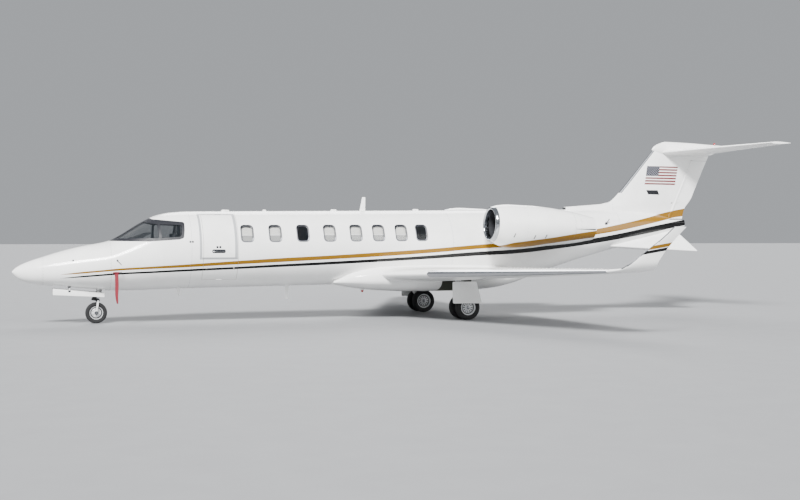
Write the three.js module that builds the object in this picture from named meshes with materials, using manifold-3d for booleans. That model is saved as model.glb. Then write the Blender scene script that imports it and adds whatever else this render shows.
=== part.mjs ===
// A twin-engined business jet with a T-tail, winglets and a two-piece cabin door.
// Millimetres: X runs aft, Y to starboard, Z up from the ground, nose to the left seen from port.
import * as THREE from "three";
import { mergeVertices } from "three/addons/utils/BufferGeometryUtils.js";
import Module from "manifold-3d";

const wasm = await Module();
wasm.setup();

// Driving dimensions, stations counted aft from the nose tip
const LENGTH = 17560;
const GAP = 0.3;
const WALL = 90;
const RADOME_END = 600;
const NOSE_END = 1975;
const COCKPIT_END = 3620;
const CABIN_END = 9600;
const AFT_END = 14200;
const TAIL_END = 16360;
const BODY_SIDES = 24;
const WHEEL_SIDES = 20;
const NACELLE_SIDES = 24;
const BAR_SIDES = 10;

// Landing gear
const NOSE_AXLE = { x: 1704, z: 228.5 };
const NOSE_TYRE = { radius: 228.5, halfWidth: 56, rim: 108 };
const STRUT_RAKE = 0.105;
const MAIN_AXLE = { x: 9634, z: 279.5 };
const MAIN_TYRE = { radius: 279.5, halfWidth: 73, rim: 152 };
const MAIN_TRACK = 2850;
const TWIN_HALF = 190;
const WELL = { front: 9270, aft: 9990, roof: 1070, inner: 230, outer: 1640 };
const MAIN_LEG = { x: 9500, knee: 470, half: 85 };
const AXLE = { nose: 18, noseHole: 18.6, main: 26, mainHole: 26.7, sides: 24 };
const FORK = { crown: 500, shoulder: 520, top: 620 };
const BAY = { front: 820, aft: 1900, half: 170, roof: 1150 };
const BAY_DOOR = { inner: 182, outer: 200, lip: 760, slope: 0.097 };

// Wing and tail
const WING_ROOT = { y: 700, z: 1000, lead: 7735, trail: 10780, ratio: 0.12 };
const WING_TIP = { y: 6700, z: 1215, lead: 10260, trail: 11100, ratio: 0.1 };
const FLAP = { inner: 1120, outer: 4250, hinge: 0.74, square: true };
const AILERON = { inner: 4310, outer: 6300, hinge: 0.74, square: true };
const SURFACE_GAP = 8;
const NOSE_SHARE = 0.97;
const COVE_SIDES = 20;
const HINGE_FAIRING = { at: [1300, 3000], front: 0.81, aft: 0.97, drop: 8, radius: 26, end: 9 };
const HINGE_PIN = { radius: 10, length: 12 };
const STAB_ROOT = { y: 60, z: 4010, lead: 15590, trail: 17060, ratio: 0.1 };
const STAB_TIP = { y: 2600, z: 4100, lead: 17010, trail: LENGTH, ratio: 0.09 };
const ELEVATOR = { inner: 130, outer: 2480, hinge: 0.66 };
const TRAILING_HALF = 1.5;
const STAB_CUT = 3905;
const TAIL_SHELF = 2300;
const RUDDER = { lowX: 15850, lowZ: TAIL_SHELF + 36, highX: 16520, highZ: 3820, lowNose: 52, highNose: 40 };
const WING_PAD = { x: 8950, y: 2300, z: 890, radius: 40 };
const NOSE_PAD = { x: 2250, z: 680, radius: 35 };

// Engines
const ENGINE = { x: 10285, y: 1450, z: 2145, droop: 0.035 };
const FAN = { radius: 352, spinner: 110, blades: 16, hubSides: 16 };
const PYLON = { inner: 300, outer: 900 };
const COWL_TAIL = { x: 2130, inner: 300, outer: 348 };

// Cabin door and windows
const DOOR = { front: 3865, aft: 4620, sill: 930, split: 1400, top: 2345, clear: 6 };
const WINDOW_STATIONS = [4820, 5440, 6060, 6670, 7280, 7810, 8350, 8840];
const WINDOW = { z: 1945, at: 6800, climb: 0.006, width: 280, height: 370, corner: 95, glass: 20 };
const FLAT_AERIALS = [4510, 5360, 6970, 8970];
const KNUCKLE = { radius: 9, length: 60, x: 4240, sides: 8, slack: 6, outward: 150 };

// Cabin floor and seats
const FLOOR = 1060;
const AISLE = 930;
const FLOOR_START = 2300;
const FLOOR_BREAK = 4700;
const FLOOR_SLOPE = 0.0121;
const SEAT = { y: 355, width: 380, arm: 60 };
const PILOT_SEAT = { x: 3080, y: 320 };
const SEAT_ROWS = [
  { x: 5180, facing: -1 },
  { x: 6330, facing: 1 },
  { x: 7060, facing: -1 },
  { x: 8210, facing: 1 },
];

const paint = new THREE.MeshStandardMaterial({ color: 0xf4f4f1, roughness: 0.25, metalness: 0.1 });
const greyPaint = new THREE.MeshStandardMaterial({ color: 0xb9bcbe, roughness: 0.4, metalness: 0.1 });
const metal = new THREE.MeshStandardMaterial({ color: 0xb8bbbd, roughness: 0.3, metalness: 1 });
const darkMetal = new THREE.MeshStandardMaterial({ color: 0x3a3b3d, roughness: 0.45, metalness: 1 });
const steel = new THREE.MeshStandardMaterial({ color: 0x8d8f92, roughness: 0.35, metalness: 1 });
const rubber = new THREE.MeshStandardMaterial({ color: 0x1a1a1b, roughness: 0.85, metalness: 0 });
const glass = new THREE.MeshStandardMaterial({ color: 0x39434c, roughness: 0.05, metalness: 0 });
const leather = new THREE.MeshStandardMaterial({ color: 0xcbb998, roughness: 0.6, metalness: 0 });
const carpet = new THREE.MeshStandardMaterial({ color: 0x8a7f70, roughness: 0.95, metalness: 0 });
const blackPlastic = new THREE.MeshStandardMaterial({ color: 0x202124, roughness: 0.7, metalness: 0 });
const redFabric = new THREE.MeshStandardMaterial({ color: 0xb01622, roughness: 0.8, metalness: 0 });

// Turns any closed geometry into a solid with its faces outward.
function solid(geometry) {
  geometry.deleteAttribute("normal");
  geometry.deleteAttribute("uv");
  const merged = mergeVertices(geometry, 1e-3);
  const position = merged.attributes.position.array;
  const index = new Uint32Array(merged.index.array);
  const make = () =>
    new wasm.Manifold(new wasm.Mesh({ numProp: 3, vertProperties: position, triVerts: index }));
  const first = make();
  if (first.volume() > 0) return first;
  for (let i = 0; i < index.length; i += 3) {
    [index[i + 1], index[i + 2]] = [index[i + 2], index[i + 1]];
  }
  return make();
}

function union(...pieces) {
  return pieces.reduce((whole, piece) => whole.add(piece));
}

// The biggest body of a cut piece, without the slivers that the cut left loose.
function largest(shape) {
  return shape.decompose().sort((a, b) => b.volume() - a.volume())[0];
}

// A body skinned over rings of equally many points, closed by a fan at each end.
function loft(rings) {
  const sides = rings[0].length;
  const position = rings.flat().flatMap((p) => [p[0], p[1], p[2]]);
  const index = [];
  for (let r = 0; r < rings.length - 1; r++) {
    for (let s = 0; s < sides; s++) {
      const a = r * sides + s;
      const b = r * sides + ((s + 1) % sides);
      index.push(a, b, a + sides, b, b + sides, a + sides);
    }
  }
  for (const end of [0, rings.length - 1]) {
    const centre = position.length / 3;
    const ring = rings[end];
    for (let axis = 0; axis < 3; axis++) {
      position.push(ring.reduce((sum, p) => sum + p[axis], 0) / sides);
    }
    for (let s = 0; s < sides; s++) {
      const a = end * sides + s;
      const b = end * sides + ((s + 1) % sides);
      if (end === 0) index.push(centre, b, a);
      else index.push(centre, a, b);
    }
  }
  const geometry = new THREE.BufferGeometry();
  geometry.setAttribute("position", new THREE.Float32BufferAttribute(position, 3));
  geometry.setIndex(index);
  return solid(geometry);
}

// Extrudes an outline drawn in the plane across the named axis, between two places on that axis.
function slab(outline, axis, from, to) {
  const shape = outline instanceof THREE.Shape ? outline : new THREE.Shape(
    outline.map((p) => new THREE.Vector2(p[0], p[1])));
  const geometry = new THREE.ExtrudeGeometry(shape, {
    depth: to - from,
    bevelEnabled: false,
    curveSegments: 1,
  });
  const across = new THREE.Matrix4();
  if (axis === "y") across.set(1, 0, 0, 0, 0, 0, 1, from, 0, 1, 0, 0, 0, 0, 0, 1);
  if (axis === "x") across.set(0, 0, 1, from, 1, 0, 0, 0, 0, 1, 0, 0, 0, 0, 0, 1);
  if (axis === "z") across.makeTranslation(0, 0, from);
  return solid(geometry.applyMatrix4(across));
}

function block(x0, x1, y0, y1, z0, z1) {
  const geometry = new THREE.BoxGeometry(x1 - x0, Math.abs(y1 - y0), z1 - z0);
  return solid(geometry.translate((x0 + x1) / 2, (y0 + y1) / 2, (z0 + z1) / 2));
}

// A round bar or cone between two points.
function rod(start, end, radius, endRadius = radius, sides = BAR_SIDES) {
  const from = new THREE.Vector3(...start);
  const to = new THREE.Vector3(...end);
  const along = to.clone().sub(from);
  const geometry = new THREE.CylinderGeometry(endRadius, radius, along.length(), sides);
  const turn = new THREE.Quaternion().setFromUnitVectors(
    new THREE.Vector3(0, 1, 0), along.clone().normalize());
  geometry.applyQuaternion(turn);
  return solid(geometry.translate(...from.add(to).multiplyScalar(0.5).toArray()));
}

// A ring turned about the Y axis from a closed profile of [radius, y] points.
function turnedAboutY(profile, centre, sides) {
  const points = profile.map((p) => new THREE.Vector2(p[0], p[1]));
  points.push(points[0].clone());
  const geometry = new THREE.LatheGeometry(points, sides);
  return solid(geometry.translate(...centre));
}

// A ring turned about the X axis from a closed profile of [x, radius] points.
function turnedAboutX(profile, sides) {
  const points = profile.map((p) => new THREE.Vector2(p[1], p[0]));
  points.push(points[0].clone());
  const geometry = new THREE.LatheGeometry(points, sides);
  return solid(geometry.rotateZ(-Math.PI / 2));
}

// Smooth, never overshooting interpolation of one column of a table in x.
function smooth(rows, column, x) {
  const last = rows.length - 1;
  if (x <= rows[0].x) return rows[0][column];
  if (x >= rows[last].x) return rows[last][column];
  const k = rows.findIndex((row) => row.x > x) - 1;
  const slope = (i) => (rows[i + 1][column] - rows[i][column]) / (rows[i + 1].x - rows[i].x);
  const tangent = (i) => {
    if (i === 0) return slope(0);
    if (i === last) return slope(last - 1);
    const before = slope(i - 1);
    const after = slope(i);
    return before * after <= 0 ? 0 : (2 * before * after) / (before + after);
  };
  const width = rows[k + 1].x - rows[k].x;
  const t = (x - rows[k].x) / width;
  const blend = t * t * (3 - 2 * t);
  return (
    rows[k][column] * (1 - blend) +
    rows[k + 1][column] * blend +
    width * (t * (1 - t) * (1 - t) * tangent(k) - t * t * (1 - t) * tangent(k + 1))
  );
}

// Fuselage sections: crown and keel heights, half width, and the height of greatest width
const BODY = [
  { x: 0, crown: 1130, keel: 1110, half: 10, mid: 1120 },
  { x: 40, crown: 1180, keel: 1050, half: 70, mid: 1118 },
  { x: 160, crown: 1262, keel: 950, half: 150, mid: 1116 },
  { x: 360, crown: 1350, keel: 880, half: 240, mid: 1120 },
  { x: 600, crown: 1430, keel: 838, half: 325, mid: 1130 },
  { x: 960, crown: 1545, keel: 795, half: 432, mid: 1155 },
  { x: 1370, crown: 1650, keel: 748, half: 540, mid: 1200 },
  { x: 1940, crown: 1765, keel: 705, half: 672, mid: 1290 },
  { x: 2100, crown: 1840, keel: 700, half: 702, mid: 1320 },
  { x: 2700, crown: 2205, keel: 704, half: 790, mid: 1430 },
  { x: 2950, crown: 2320, keel: 714, half: 818, mid: 1480 },
  { x: 3240, crown: 2385, keel: 722, half: 842, mid: 1530 },
  { x: 3620, crown: 2415, keel: 728, half: 862, mid: 1565 },
  { x: 4700, crown: 2430, keel: 742, half: 875, mid: 1585 },
  { x: 8000, crown: 2470, keel: 780, half: 875, mid: 1625 },
  { x: 10400, crown: 2502, keel: 815, half: 875, mid: 1660 },
  { x: 11400, crown: 2518, keel: 890, half: 835, mid: 1715 },
  { x: 12370, crown: 2534, keel: 1070, half: 745, mid: 1810 },
  { x: 13130, crown: 2542, keel: 1290, half: 645, mid: 1900 },
  { x: 14100, crown: 2540, keel: 1540, half: 500, mid: 2010 },
  { x: 15200, crown: 2470, keel: 1815, half: 315, mid: 2130 },
  { x: 16360, crown: 2310, keel: 2110, half: 75, mid: 2215 },
];

// One fuselage ring: an upper and a lower half ellipse that share their width.
function bodyRing(x, inset) {
  const mid = smooth(BODY, "mid", x);
  const half = smooth(BODY, "half", x) - inset;
  const up = smooth(BODY, "crown", x) - mid - inset;
  const down = mid - smooth(BODY, "keel", x) - inset;
  return Array.from({ length: BODY_SIDES }, (_, i) => {
    const angle = (i / BODY_SIDES) * Math.PI * 2;
    const rise = Math.sin(angle);
    return [x, half * Math.cos(angle), mid + rise * (rise > 0 ? up : down)];
  });
}

// Every ring that a stretch of fuselage has, so that pieces side by side share their facets
const JOINTS = [RADOME_END, NOSE_END, COCKPIT_END, CABIN_END, AFT_END];
const STATIONS = [...BODY.map((row) => row.x), ...JOINTS]
  .sort((a, b) => a - b)
  .filter((x, i, all) => x !== all[i - 1]);

// The fuselage between two stations, drawn in by an inset (negative grows it).
function bodyBetween(from, to, inset = 0) {
  const between = STATIONS.filter((x) => x > from + 1 && x < to - 1);
  return loft([from, ...between, to].map((x) => bodyRing(x, inset)));
}

const fatBody = bodyBetween(RADOME_END, TAIL_END, -GAP);

// Outlines in the side view, as [x, z]
const COCKPIT_GLASS = [
  [1985, 1775], [2120, 1762], [2780, 1752], [3380, 1790], [3455, 1830], [3500, 1980],
  [3485, 2120], [3400, 2180], [3100, 2200], [2720, 2205], [2600, 2290], [1985, 1990],
];
const CENTRE_POST = 28;
const SIDE_POST = { low: 2960, high: 2890, half: 38 };
const POST_DEPTH = 20;

function roundedOutline(cx, cz, width, height, corner) {
  const left = cx - width / 2;
  const right = cx + width / 2;
  const low = cz - height / 2;
  const high = cz + height / 2;
  const shape = new THREE.Shape();
  shape.moveTo(left + corner, low);
  shape.lineTo(right - corner, low);
  shape.absarc(right - corner, low + corner, corner, -Math.PI / 2, 0, false);
  shape.absarc(right - corner, high - corner, corner, 0, Math.PI / 2, false);
  shape.absarc(left + corner, high - corner, corner, Math.PI / 2, Math.PI, false);
  shape.absarc(left + corner, low + corner, corner, Math.PI, Math.PI * 1.5, false);
  return shape;
}

// A cabin window's outline, drawn in by an inset. The row of windows climbs with the fuselage.
function windowOutline(x, inset) {
  const z = WINDOW.z + (x - WINDOW.at) * WINDOW.climb;
  return roundedOutline(x, z, WINDOW.width - 2 * inset, WINDOW.height - 2 * inset, WINDOW.corner - inset);
}

// Distance of the wall from the centre plane at a station and height.
function wallY(x, z, inset) {
  const mid = smooth(BODY, "mid", x);
  const reach = z > mid ? smooth(BODY, "crown", x) - mid : mid - smooth(BODY, "keel", x);
  const share = (z - mid) / (reach - inset);
  return (smooth(BODY, "half", x) - inset) * Math.sqrt(Math.max(0, 1 - share * share));
}

function shrunk(outline, by) {
  const cx = outline.reduce((sum, p) => sum + p[0], 0) / outline.length;
  const cz = outline.reduce((sum, p) => sum + p[1], 0) / outline.length;
  return outline.map(([x, z]) => [x - Math.sign(x - cx) * by, z - Math.sign(z - cz) * by]);
}

// One side's slab between two distances from the centre plane
function sideSlab(outline, side, near, far) {
  return side < 0 ? slab(outline, "y", -far, -near) : slab(outline, "y", near, far);
}

const meshes = [];
function part(name, shape, material) {
  const made = shape.getMesh();
  const geometry = new THREE.BufferGeometry();
  geometry.setAttribute("position", new THREE.BufferAttribute(made.vertProperties, 3));
  geometry.setIndex(new THREE.BufferAttribute(made.triVerts, 1));
  const mesh = new THREE.Mesh(geometry, material);
  mesh.name = name;
  meshes.push(mesh);
  return mesh;
}

const SIDES = [
  { name: "left", sign: -1 },
  { name: "right", sign: 1 },
];

// Nose: radome, then the solid avionics nose with the wheel bay cut up into it
part("nose_radome", bodyBetween(0, RADOME_END - GAP), paint);
const noseBay = block(BAY.front, BAY.aft, -BAY.half, BAY.half, 400, BAY.roof);
part("nose_section", bodyBetween(RADOME_END, NOSE_END - GAP).subtract(noseBay), paint);

// Cockpit: a hollow shell with the windscreen and side windows cut through it
let cockpit = bodyBetween(NOSE_END, COCKPIT_END - GAP);
cockpit = cockpit.subtract(bodyBetween(NOSE_END - 50, COCKPIT_END + 50, WALL));
const glassShell = bodyBetween(NOSE_END + 2, COCKPIT_END - 10, POST_DEPTH + GAP).subtract(
  bodyBetween(NOSE_END - 50, COCKPIT_END + 50, POST_DEPTH + 24));
const behindPost = bodyBetween(NOSE_END - 50, COCKPIT_END + 50, POST_DEPTH);
const sidePost = [
  [SIDE_POST.low - SIDE_POST.half, 1700],
  [SIDE_POST.low + SIDE_POST.half, 1700],
  [SIDE_POST.high + SIDE_POST.half, 2300],
  [SIDE_POST.high - SIDE_POST.half, 2300],
];
for (const side of SIDES) {
  const post = sideSlab(sidePost, side.sign, 300, 1200).subtract(behindPost);
  cockpit = cockpit.subtract(sideSlab(COCKPIT_GLASS, side.sign, CENTRE_POST, 1200).subtract(post));
  const pane = sideSlab(shrunk(COCKPIT_GLASS, GAP), side.sign, CENTRE_POST + GAP, 1200);
  part("cockpit_windows_" + side.name, glassShell.intersect(pane), glass);
}
const drainMast = slab([[3395, 760], [3485, 760], [3480, 575], [3440, 575]], "y", -8, 8);
const nosePad = rod([NOSE_PAD.x, 0, 740], [NOSE_PAD.x, 0, NOSE_PAD.z], NOSE_PAD.radius);
part("cockpit_shell", union(cockpit, nosePad, drainMast), paint);

// The wall's outward direction at the doorway's sill (0) and head (1), as y and z
function doorwayNormal(i) {
  const x = (DOOR.front + DOOR.aft) / 2;
  const z = i ? DOOR.top : DOOR.sill;
  const mid = smooth(BODY, "mid", x);
  const tall = i ? smooth(BODY, "crown", x) - mid : mid - smooth(BODY, "keel", x);
  const y = -wallY(x, z, 0);
  return new THREE.Vector2(y / smooth(BODY, "half", x) ** 2, (z - mid) / tall ** 2).normalize();
}

// The doorway's section as [y, z]: its sill and head are cut square to the curved wall.
function doorway(inset) {
  const hinges = [DOOR.sill, DOOR.top].map((z, i) => {
    const y = -wallY((DOOR.front + DOOR.aft) / 2, z, 0);
    const outward = doorwayNormal(i);
    const edge = new THREE.Vector2(-outward.y, outward.x).multiplyScalar(i ? -inset : inset);
    return { at: new THREE.Vector2(y, z).sub(edge), outward };
  });
  const [sill, head] = hinges;
  const from = ({ at, outward }, distance) => at.clone().addScaledVector(outward, distance).toArray();
  return [
    from(sill, 400), from(sill, -KNUCKLE.outward), from(head, -KNUCKLE.outward), from(head, 300),
    [-1400, from(head, 300)[1]], [-1400, from(sill, 400)[1]],
  ];
}

// Cabin: a hollow shell with the doorway and eight windows a side cut through it
let cabin = bodyBetween(COCKPIT_END, CABIN_END - GAP);
cabin = cabin.subtract(bodyBetween(COCKPIT_END - 50, CABIN_END + 50, WALL));
const wallRing = cabin;
for (const x of WINDOW_STATIONS) {
  cabin = cabin.subtract(slab(windowOutline(x, 0), "y", -1200, 1200));
}
cabin = cabin.subtract(slab(doorway(0), "x", DOOR.front, DOOR.aft));
const crownBlade = slab([[7600, 2440], [7740, 2440], [7745, 2780], [7670, 2780]], "y", -10, 10);
const bellyBlade = slab([[5830, 800], [5930, 800], [5905, 460], [5850, 460]], "y", -9, 9);
const flatAerials = FLAT_AERIALS.map((x) => {
  const top = smooth(BODY, "crown", x);
  const outline = [[x - 100, top - 30], [x + 110, top - 30], [x + 90, top + 32], [x - 60, top + 36]];
  return slab(outline, "y", -38, 38);
});

// Glazing belts: a thin liner inside the wall with a pane standing out into each window hole
for (const side of SIDES) {
  const last = WINDOW_STATIONS.length - 1;
  const liner = bodyBetween(COCKPIT_END + 2, CABIN_END - 2, WALL + GAP).subtract(
    bodyBetween(COCKPIT_END - 50, CABIN_END + 50, WALL + 12));
  const [beltFront, beltAft] = [WINDOW_STATIONS[0] - 190, WINDOW_STATIONS[last] + 190];
  const belt = sideSlab(
    [[beltFront, 1740], [beltAft, 1740], [beltAft, 2150], [beltFront, 2150]], side.sign, 300, 1200);
  let glazing = liner.intersect(belt);
  for (const x of WINDOW_STATIONS) {
    const outline = windowOutline(x, GAP).getPoints(1).slice(0, -1);
    const layer = (inset) => outline.map((p) => [p.x, side.sign * wallY(p.x, p.y, inset), p.y]);
    glazing = glazing.add(loft([layer(WINDOW.glass), layer(WALL + 8)]));
  }
  part("cabin_windows_" + side.name, glazing, glass);
}

// Cabin door: an upper half that lifts and a lower half that drops with steps inside
const doorFront = DOOR.front + DOOR.clear;
const doorAft = DOOR.aft - DOOR.clear;
const doorBlank = wallRing.intersect(slab(doorway(DOOR.clear), "x", doorFront, doorAft));
const aboveSplit = block(3000, 5000, -1500, 0, DOOR.split + DOOR.clear / 2, 3000);
const belowSplit = block(3000, 5000, -1500, 0, 0, DOOR.split - DOOR.clear / 2);
const upperDoor = doorBlank.intersect(aboveSplit);
const lowerDoor = doorBlank.intersect(belowSplit);

// Hinge knuckles on the doorway's sill and head: the shell's and the door's meet end to end
const pivots = [DOOR.sill, DOOR.top].map((z, i) => {
  const [y, height] = doorway(DOOR.clear / 2)[i ? 2 : 1];
  const outward = doorwayNormal(i);
  return [y + outward.x * KNUCKLE.outward, height + outward.y * KNUCKLE.outward];
});
function knuckle(pivot, start, radius, spare) {
  const from = [KNUCKLE.x + start - spare, ...pivot];
  const to = [KNUCKLE.x + start + KNUCKLE.length - GAP + spare, ...pivot];
  return rod(from, to, radius, radius, KNUCKLE.sides);
}
const steps = union(
  block(doorFront + 60, doorAft - 60, -760, -560, 1180, 1205),
  block(doorFront + 60, doorAft - 60, -790, -620, 1340, 1365),
);
const [lowerPivot, upperPivot] = pivots;
const reach = KNUCKLE.length;
for (const pivot of pivots) {
  cabin = cabin.add(knuckle(pivot, -reach, KNUCKLE.radius, 0));
  cabin = cabin.subtract(knuckle(pivot, 0, KNUCKLE.radius + KNUCKLE.slack, GAP));
}
const hang = (door, pivot) => door
  .subtract(knuckle(pivot, -reach, KNUCKLE.radius + KNUCKLE.slack, KNUCKLE.slack))
  .add(knuckle(pivot, 0, KNUCKLE.radius, 0));
part("cabin_shell", union(cabin, crownBlade, bellyBlade, ...flatAerials), paint);
part("cabin_door_upper", hang(upperDoor, upperPivot), paint);
part("cabin_door_lower", hang(union(lowerDoor, steps), lowerPivot), paint);

// Cabin floor with its dropped aisle, running from the cockpit to the aft bulkhead
const floorOutline = [
  [-500, FLOOR], [-200, FLOOR], [-200, AISLE], [200, AISLE], [200, FLOOR], [500, FLOOR],
  [500, FLOOR - 40], [235, FLOOR - 40], [235, AISLE - 35], [-235, AISLE - 35], [-235, FLOOR - 40],
  [-500, FLOOR - 40],
];
const floorRise = (x) => Math.max(0, x - FLOOR_BREAK) * FLOOR_SLOPE;
const sloped = new THREE.Matrix4().set(
  1, 0, 0, 0, 0, 1, 0, 0, FLOOR_SLOPE, 0, 1, -FLOOR_BREAK * FLOOR_SLOPE, 0, 0, 0, 1);
part("cabin_floor", union(
  slab(floorOutline, "x", FLOOR_START, FLOOR_BREAK),
  slab(floorOutline, "x", FLOOR_BREAK, CABIN_END - GAP).transform(sloped.elements),
), carpet);

// One seat: plinth, cushion, arms and back. Facing is +1 for one that looks forward.
function seat(x, y, facing, base, width) {
  const at = (from, to) => (facing > 0 ? [x + from, x + to] : [x - to, x - from]);
  const [c0, c1] = at(-260, 240);
  const [p0, p1] = at(-200, 180);
  const [b0, b1] = at(150, 290);
  const half = width / 2;
  return union(
    block(p0, p1, y - half + 60, y + half - 60, base, base + 200),
    block(c0, c1, y - half, y + half, base + 190, base + 400),
    block(b0, b1, y - half + 15, y + half - 15, base + 300, base + 1020),
    block(c0 + 60, c1 - 60, y - half, y - half + SEAT.arm, base + 390, base + 570),
    block(c0 + 60, c1 - 60, y + half - SEAT.arm, y + half, base + 390, base + 570),
  );
}
for (const side of SIDES) {
  const y = side.sign * SEAT.y;
  const rows = SEAT_ROWS.map(({ x, facing }) =>
    seat(x, y, facing, FLOOR + floorRise(x + 200) + GAP, SEAT.width));
  const ledge = block(4950, 8450, side.sign * 530, side.sign * 590, 1200, 1490);
  part("cabin_seats_" + side.name, union(ledge, ...rows), leather);
  const pilotSeat = seat(PILOT_SEAT.x, side.sign * PILOT_SEAT.y, 1, FLOOR + GAP, SEAT.width);
  part("pilot_seat_" + side.name, pilotSeat, leather);
}
part("instrument_panel", union(
  slab([[2190, 1180], [2480, 1180], [2480, 1700], [2340, 1740], [2220, 1690]], "y", -385, 385),
  block(2330, 2420, -60, 60, AISLE + GAP, 1200),
), blackPlastic);

// Wing and body fairing: section centre, half width and half heights along the belly
const FAIRING = [
  { x: 6850, half: 500, top: 880, low: 790 },
  { x: 7300, half: 800, top: 1120, low: 700 },
  { x: 7900, half: 960, top: 1240, low: 630 },
  { x: 8700, half: 1010, top: 1270, low: 595 },
  { x: 9900, half: 1010, top: 1270, low: 590 },
  { x: 10700, half: 950, top: 1240, low: 640 },
  { x: 11300, half: 760, top: 1180, low: 760 },
  { x: 11900, half: 420, top: 1080, low: 960 },
];
function fairing(grow) {
  return loft(FAIRING.map((row) => {
    const mid = (row.top + row.low) / 2;
    const tall = (row.top - row.low) / 2 + grow;
    return Array.from({ length: BODY_SIDES }, (_, i) => {
      const angle = (i / BODY_SIDES) * Math.PI * 2;
      const c = Math.cos(angle);
      const s = Math.sin(angle);
      const y = Math.sign(c) * Math.abs(c) ** 0.7 * (row.half + grow);
      return [row.x, y, mid + Math.sign(s) * Math.abs(s) ** 0.75 * tall];
    });
  }));
}
const wheelWells = SIDES.map((side) =>
  block(WELL.front, WELL.aft, side.sign * WELL.inner, side.sign * WELL.outer, 300, WELL.roof));
const fullFairing = fairing(0);
let belly = fullFairing.subtract(fatBody);
for (const well of wheelWells) belly = belly.subtract(well);
part("belly_fairing", largest(belly), paint);

// Symmetrical section: half thickness at a fraction of the chord, for a thickness ratio.
function halfThickness(fraction, ratio) {
  const u = fraction;
  const curve = 0.2969 * Math.sqrt(u) - 0.126 * u - 0.3516 * u ** 2 + 0.2843 * u ** 3 - 0.0985 * u ** 4;
  return 5 * ratio * curve;
}
const CHORD_STEPS = [0, 0.02, 0.09, 0.25, 0.48, 0.74, 0.88, 1];

// A wing section ring. Lean tips its thickness from vertical (0) to sideways (90 degrees).
function wingRing({ y, z, lead, trail, ratio }, side, lean = 0) {
  const chord = trail - lead;
  const tilt = (lean * Math.PI) / 180;
  const point = (fraction, sign) => {
    const t = sign * (halfThickness(fraction, ratio) * chord + (fraction === 1 ? TRAILING_HALF : 0));
    return [lead + fraction * chord, side * (y - Math.sin(tilt) * t), z + Math.cos(tilt) * t];
  };
  const upper = CHORD_STEPS.map((f) => point(f, 1));
  const lower = CHORD_STEPS.slice(1).reverse().map((f) => point(f, -1));
  return [...upper, ...lower];
}
function along(root, tip, y) {
  const t = (y - root.y) / (tip.y - root.y);
  const mix = (key) => root[key] + (tip[key] - root[key]) * t;
  return { y, z: mix("z"), lead: mix("lead"), trail: mix("trail"), ratio: mix("ratio") };
}

// Splits a hinged surface with a round nose off the back of a wing-like body.
function hinged(whole, root, tip, plan, side) {
  const ends = [plan.inner, plan.outer].map((y) => along(root, tip, y));
  const at = ends.map((s) => {
    const chord = s.trail - s.lead;
    return {
      x: s.lead + plan.hinge * chord, y: side * s.y, z: s.z, trail: s.trail,
      half: halfThickness(plan.hinge, s.ratio) * chord,
    };
  });
  const [a, b] = at;
  const low = Math.min(a.z, b.z) - 400;
  const high = Math.max(a.z, b.z) + 400;
  // Ends cut square to a swept, rising hinge line stay in their own plane as the surface turns
  const skew = plan.square ? (b.x - a.x) / (b.y - a.y) : 0;
  const lift = plan.square ? (b.z - a.z) / ((b.x - a.x) ** 2 + (b.y - a.y) ** 2) : 0;
  const corner = (end, z, grow, aft) => {
    const slide = -lift * (z - end.z);
    const reach = aft ? end.trail + 300 - end.x : 0;
    return [end.x + slide * (b.x - a.x) + reach, end.y + slide * (b.y - a.y) + grow - skew * reach, z];
  };
  const region = (grow) => loft([low, high].map((z) => [
    corner(a, z, -side * grow, false), corner(a, z, -side * grow, true),
    corner(b, z, side * grow, true), corner(b, z, side * grow, false),
  ]));
  const start = new THREE.Vector3(a.x, a.y, a.z);
  const end = new THREE.Vector3(b.x, b.y, b.z);
  const axis = end.clone().sub(start).normalize();
  const bar = (longer, r0, r1, sides) => rod(
    start.clone().addScaledVector(axis, -longer).toArray(),
    end.clone().addScaledVector(axis, longer).toArray(), r0, r1, sides);
  const pin = bar(HINGE_PIN.length - GAP, HINGE_PIN.radius, HINGE_PIN.radius);
  const nose = bar(0, a.half * NOSE_SHARE, b.half * NOSE_SHARE);
  const surface = union(whole.intersect(region(0)), nose, pin);
  const cove = bar(HINGE_PIN.length, a.half + SURFACE_GAP, b.half + SURFACE_GAP, COVE_SIDES);
  return { surface, rest: largest(whole.subtract(region(SURFACE_GAP)).subtract(cove)) };
}

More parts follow.
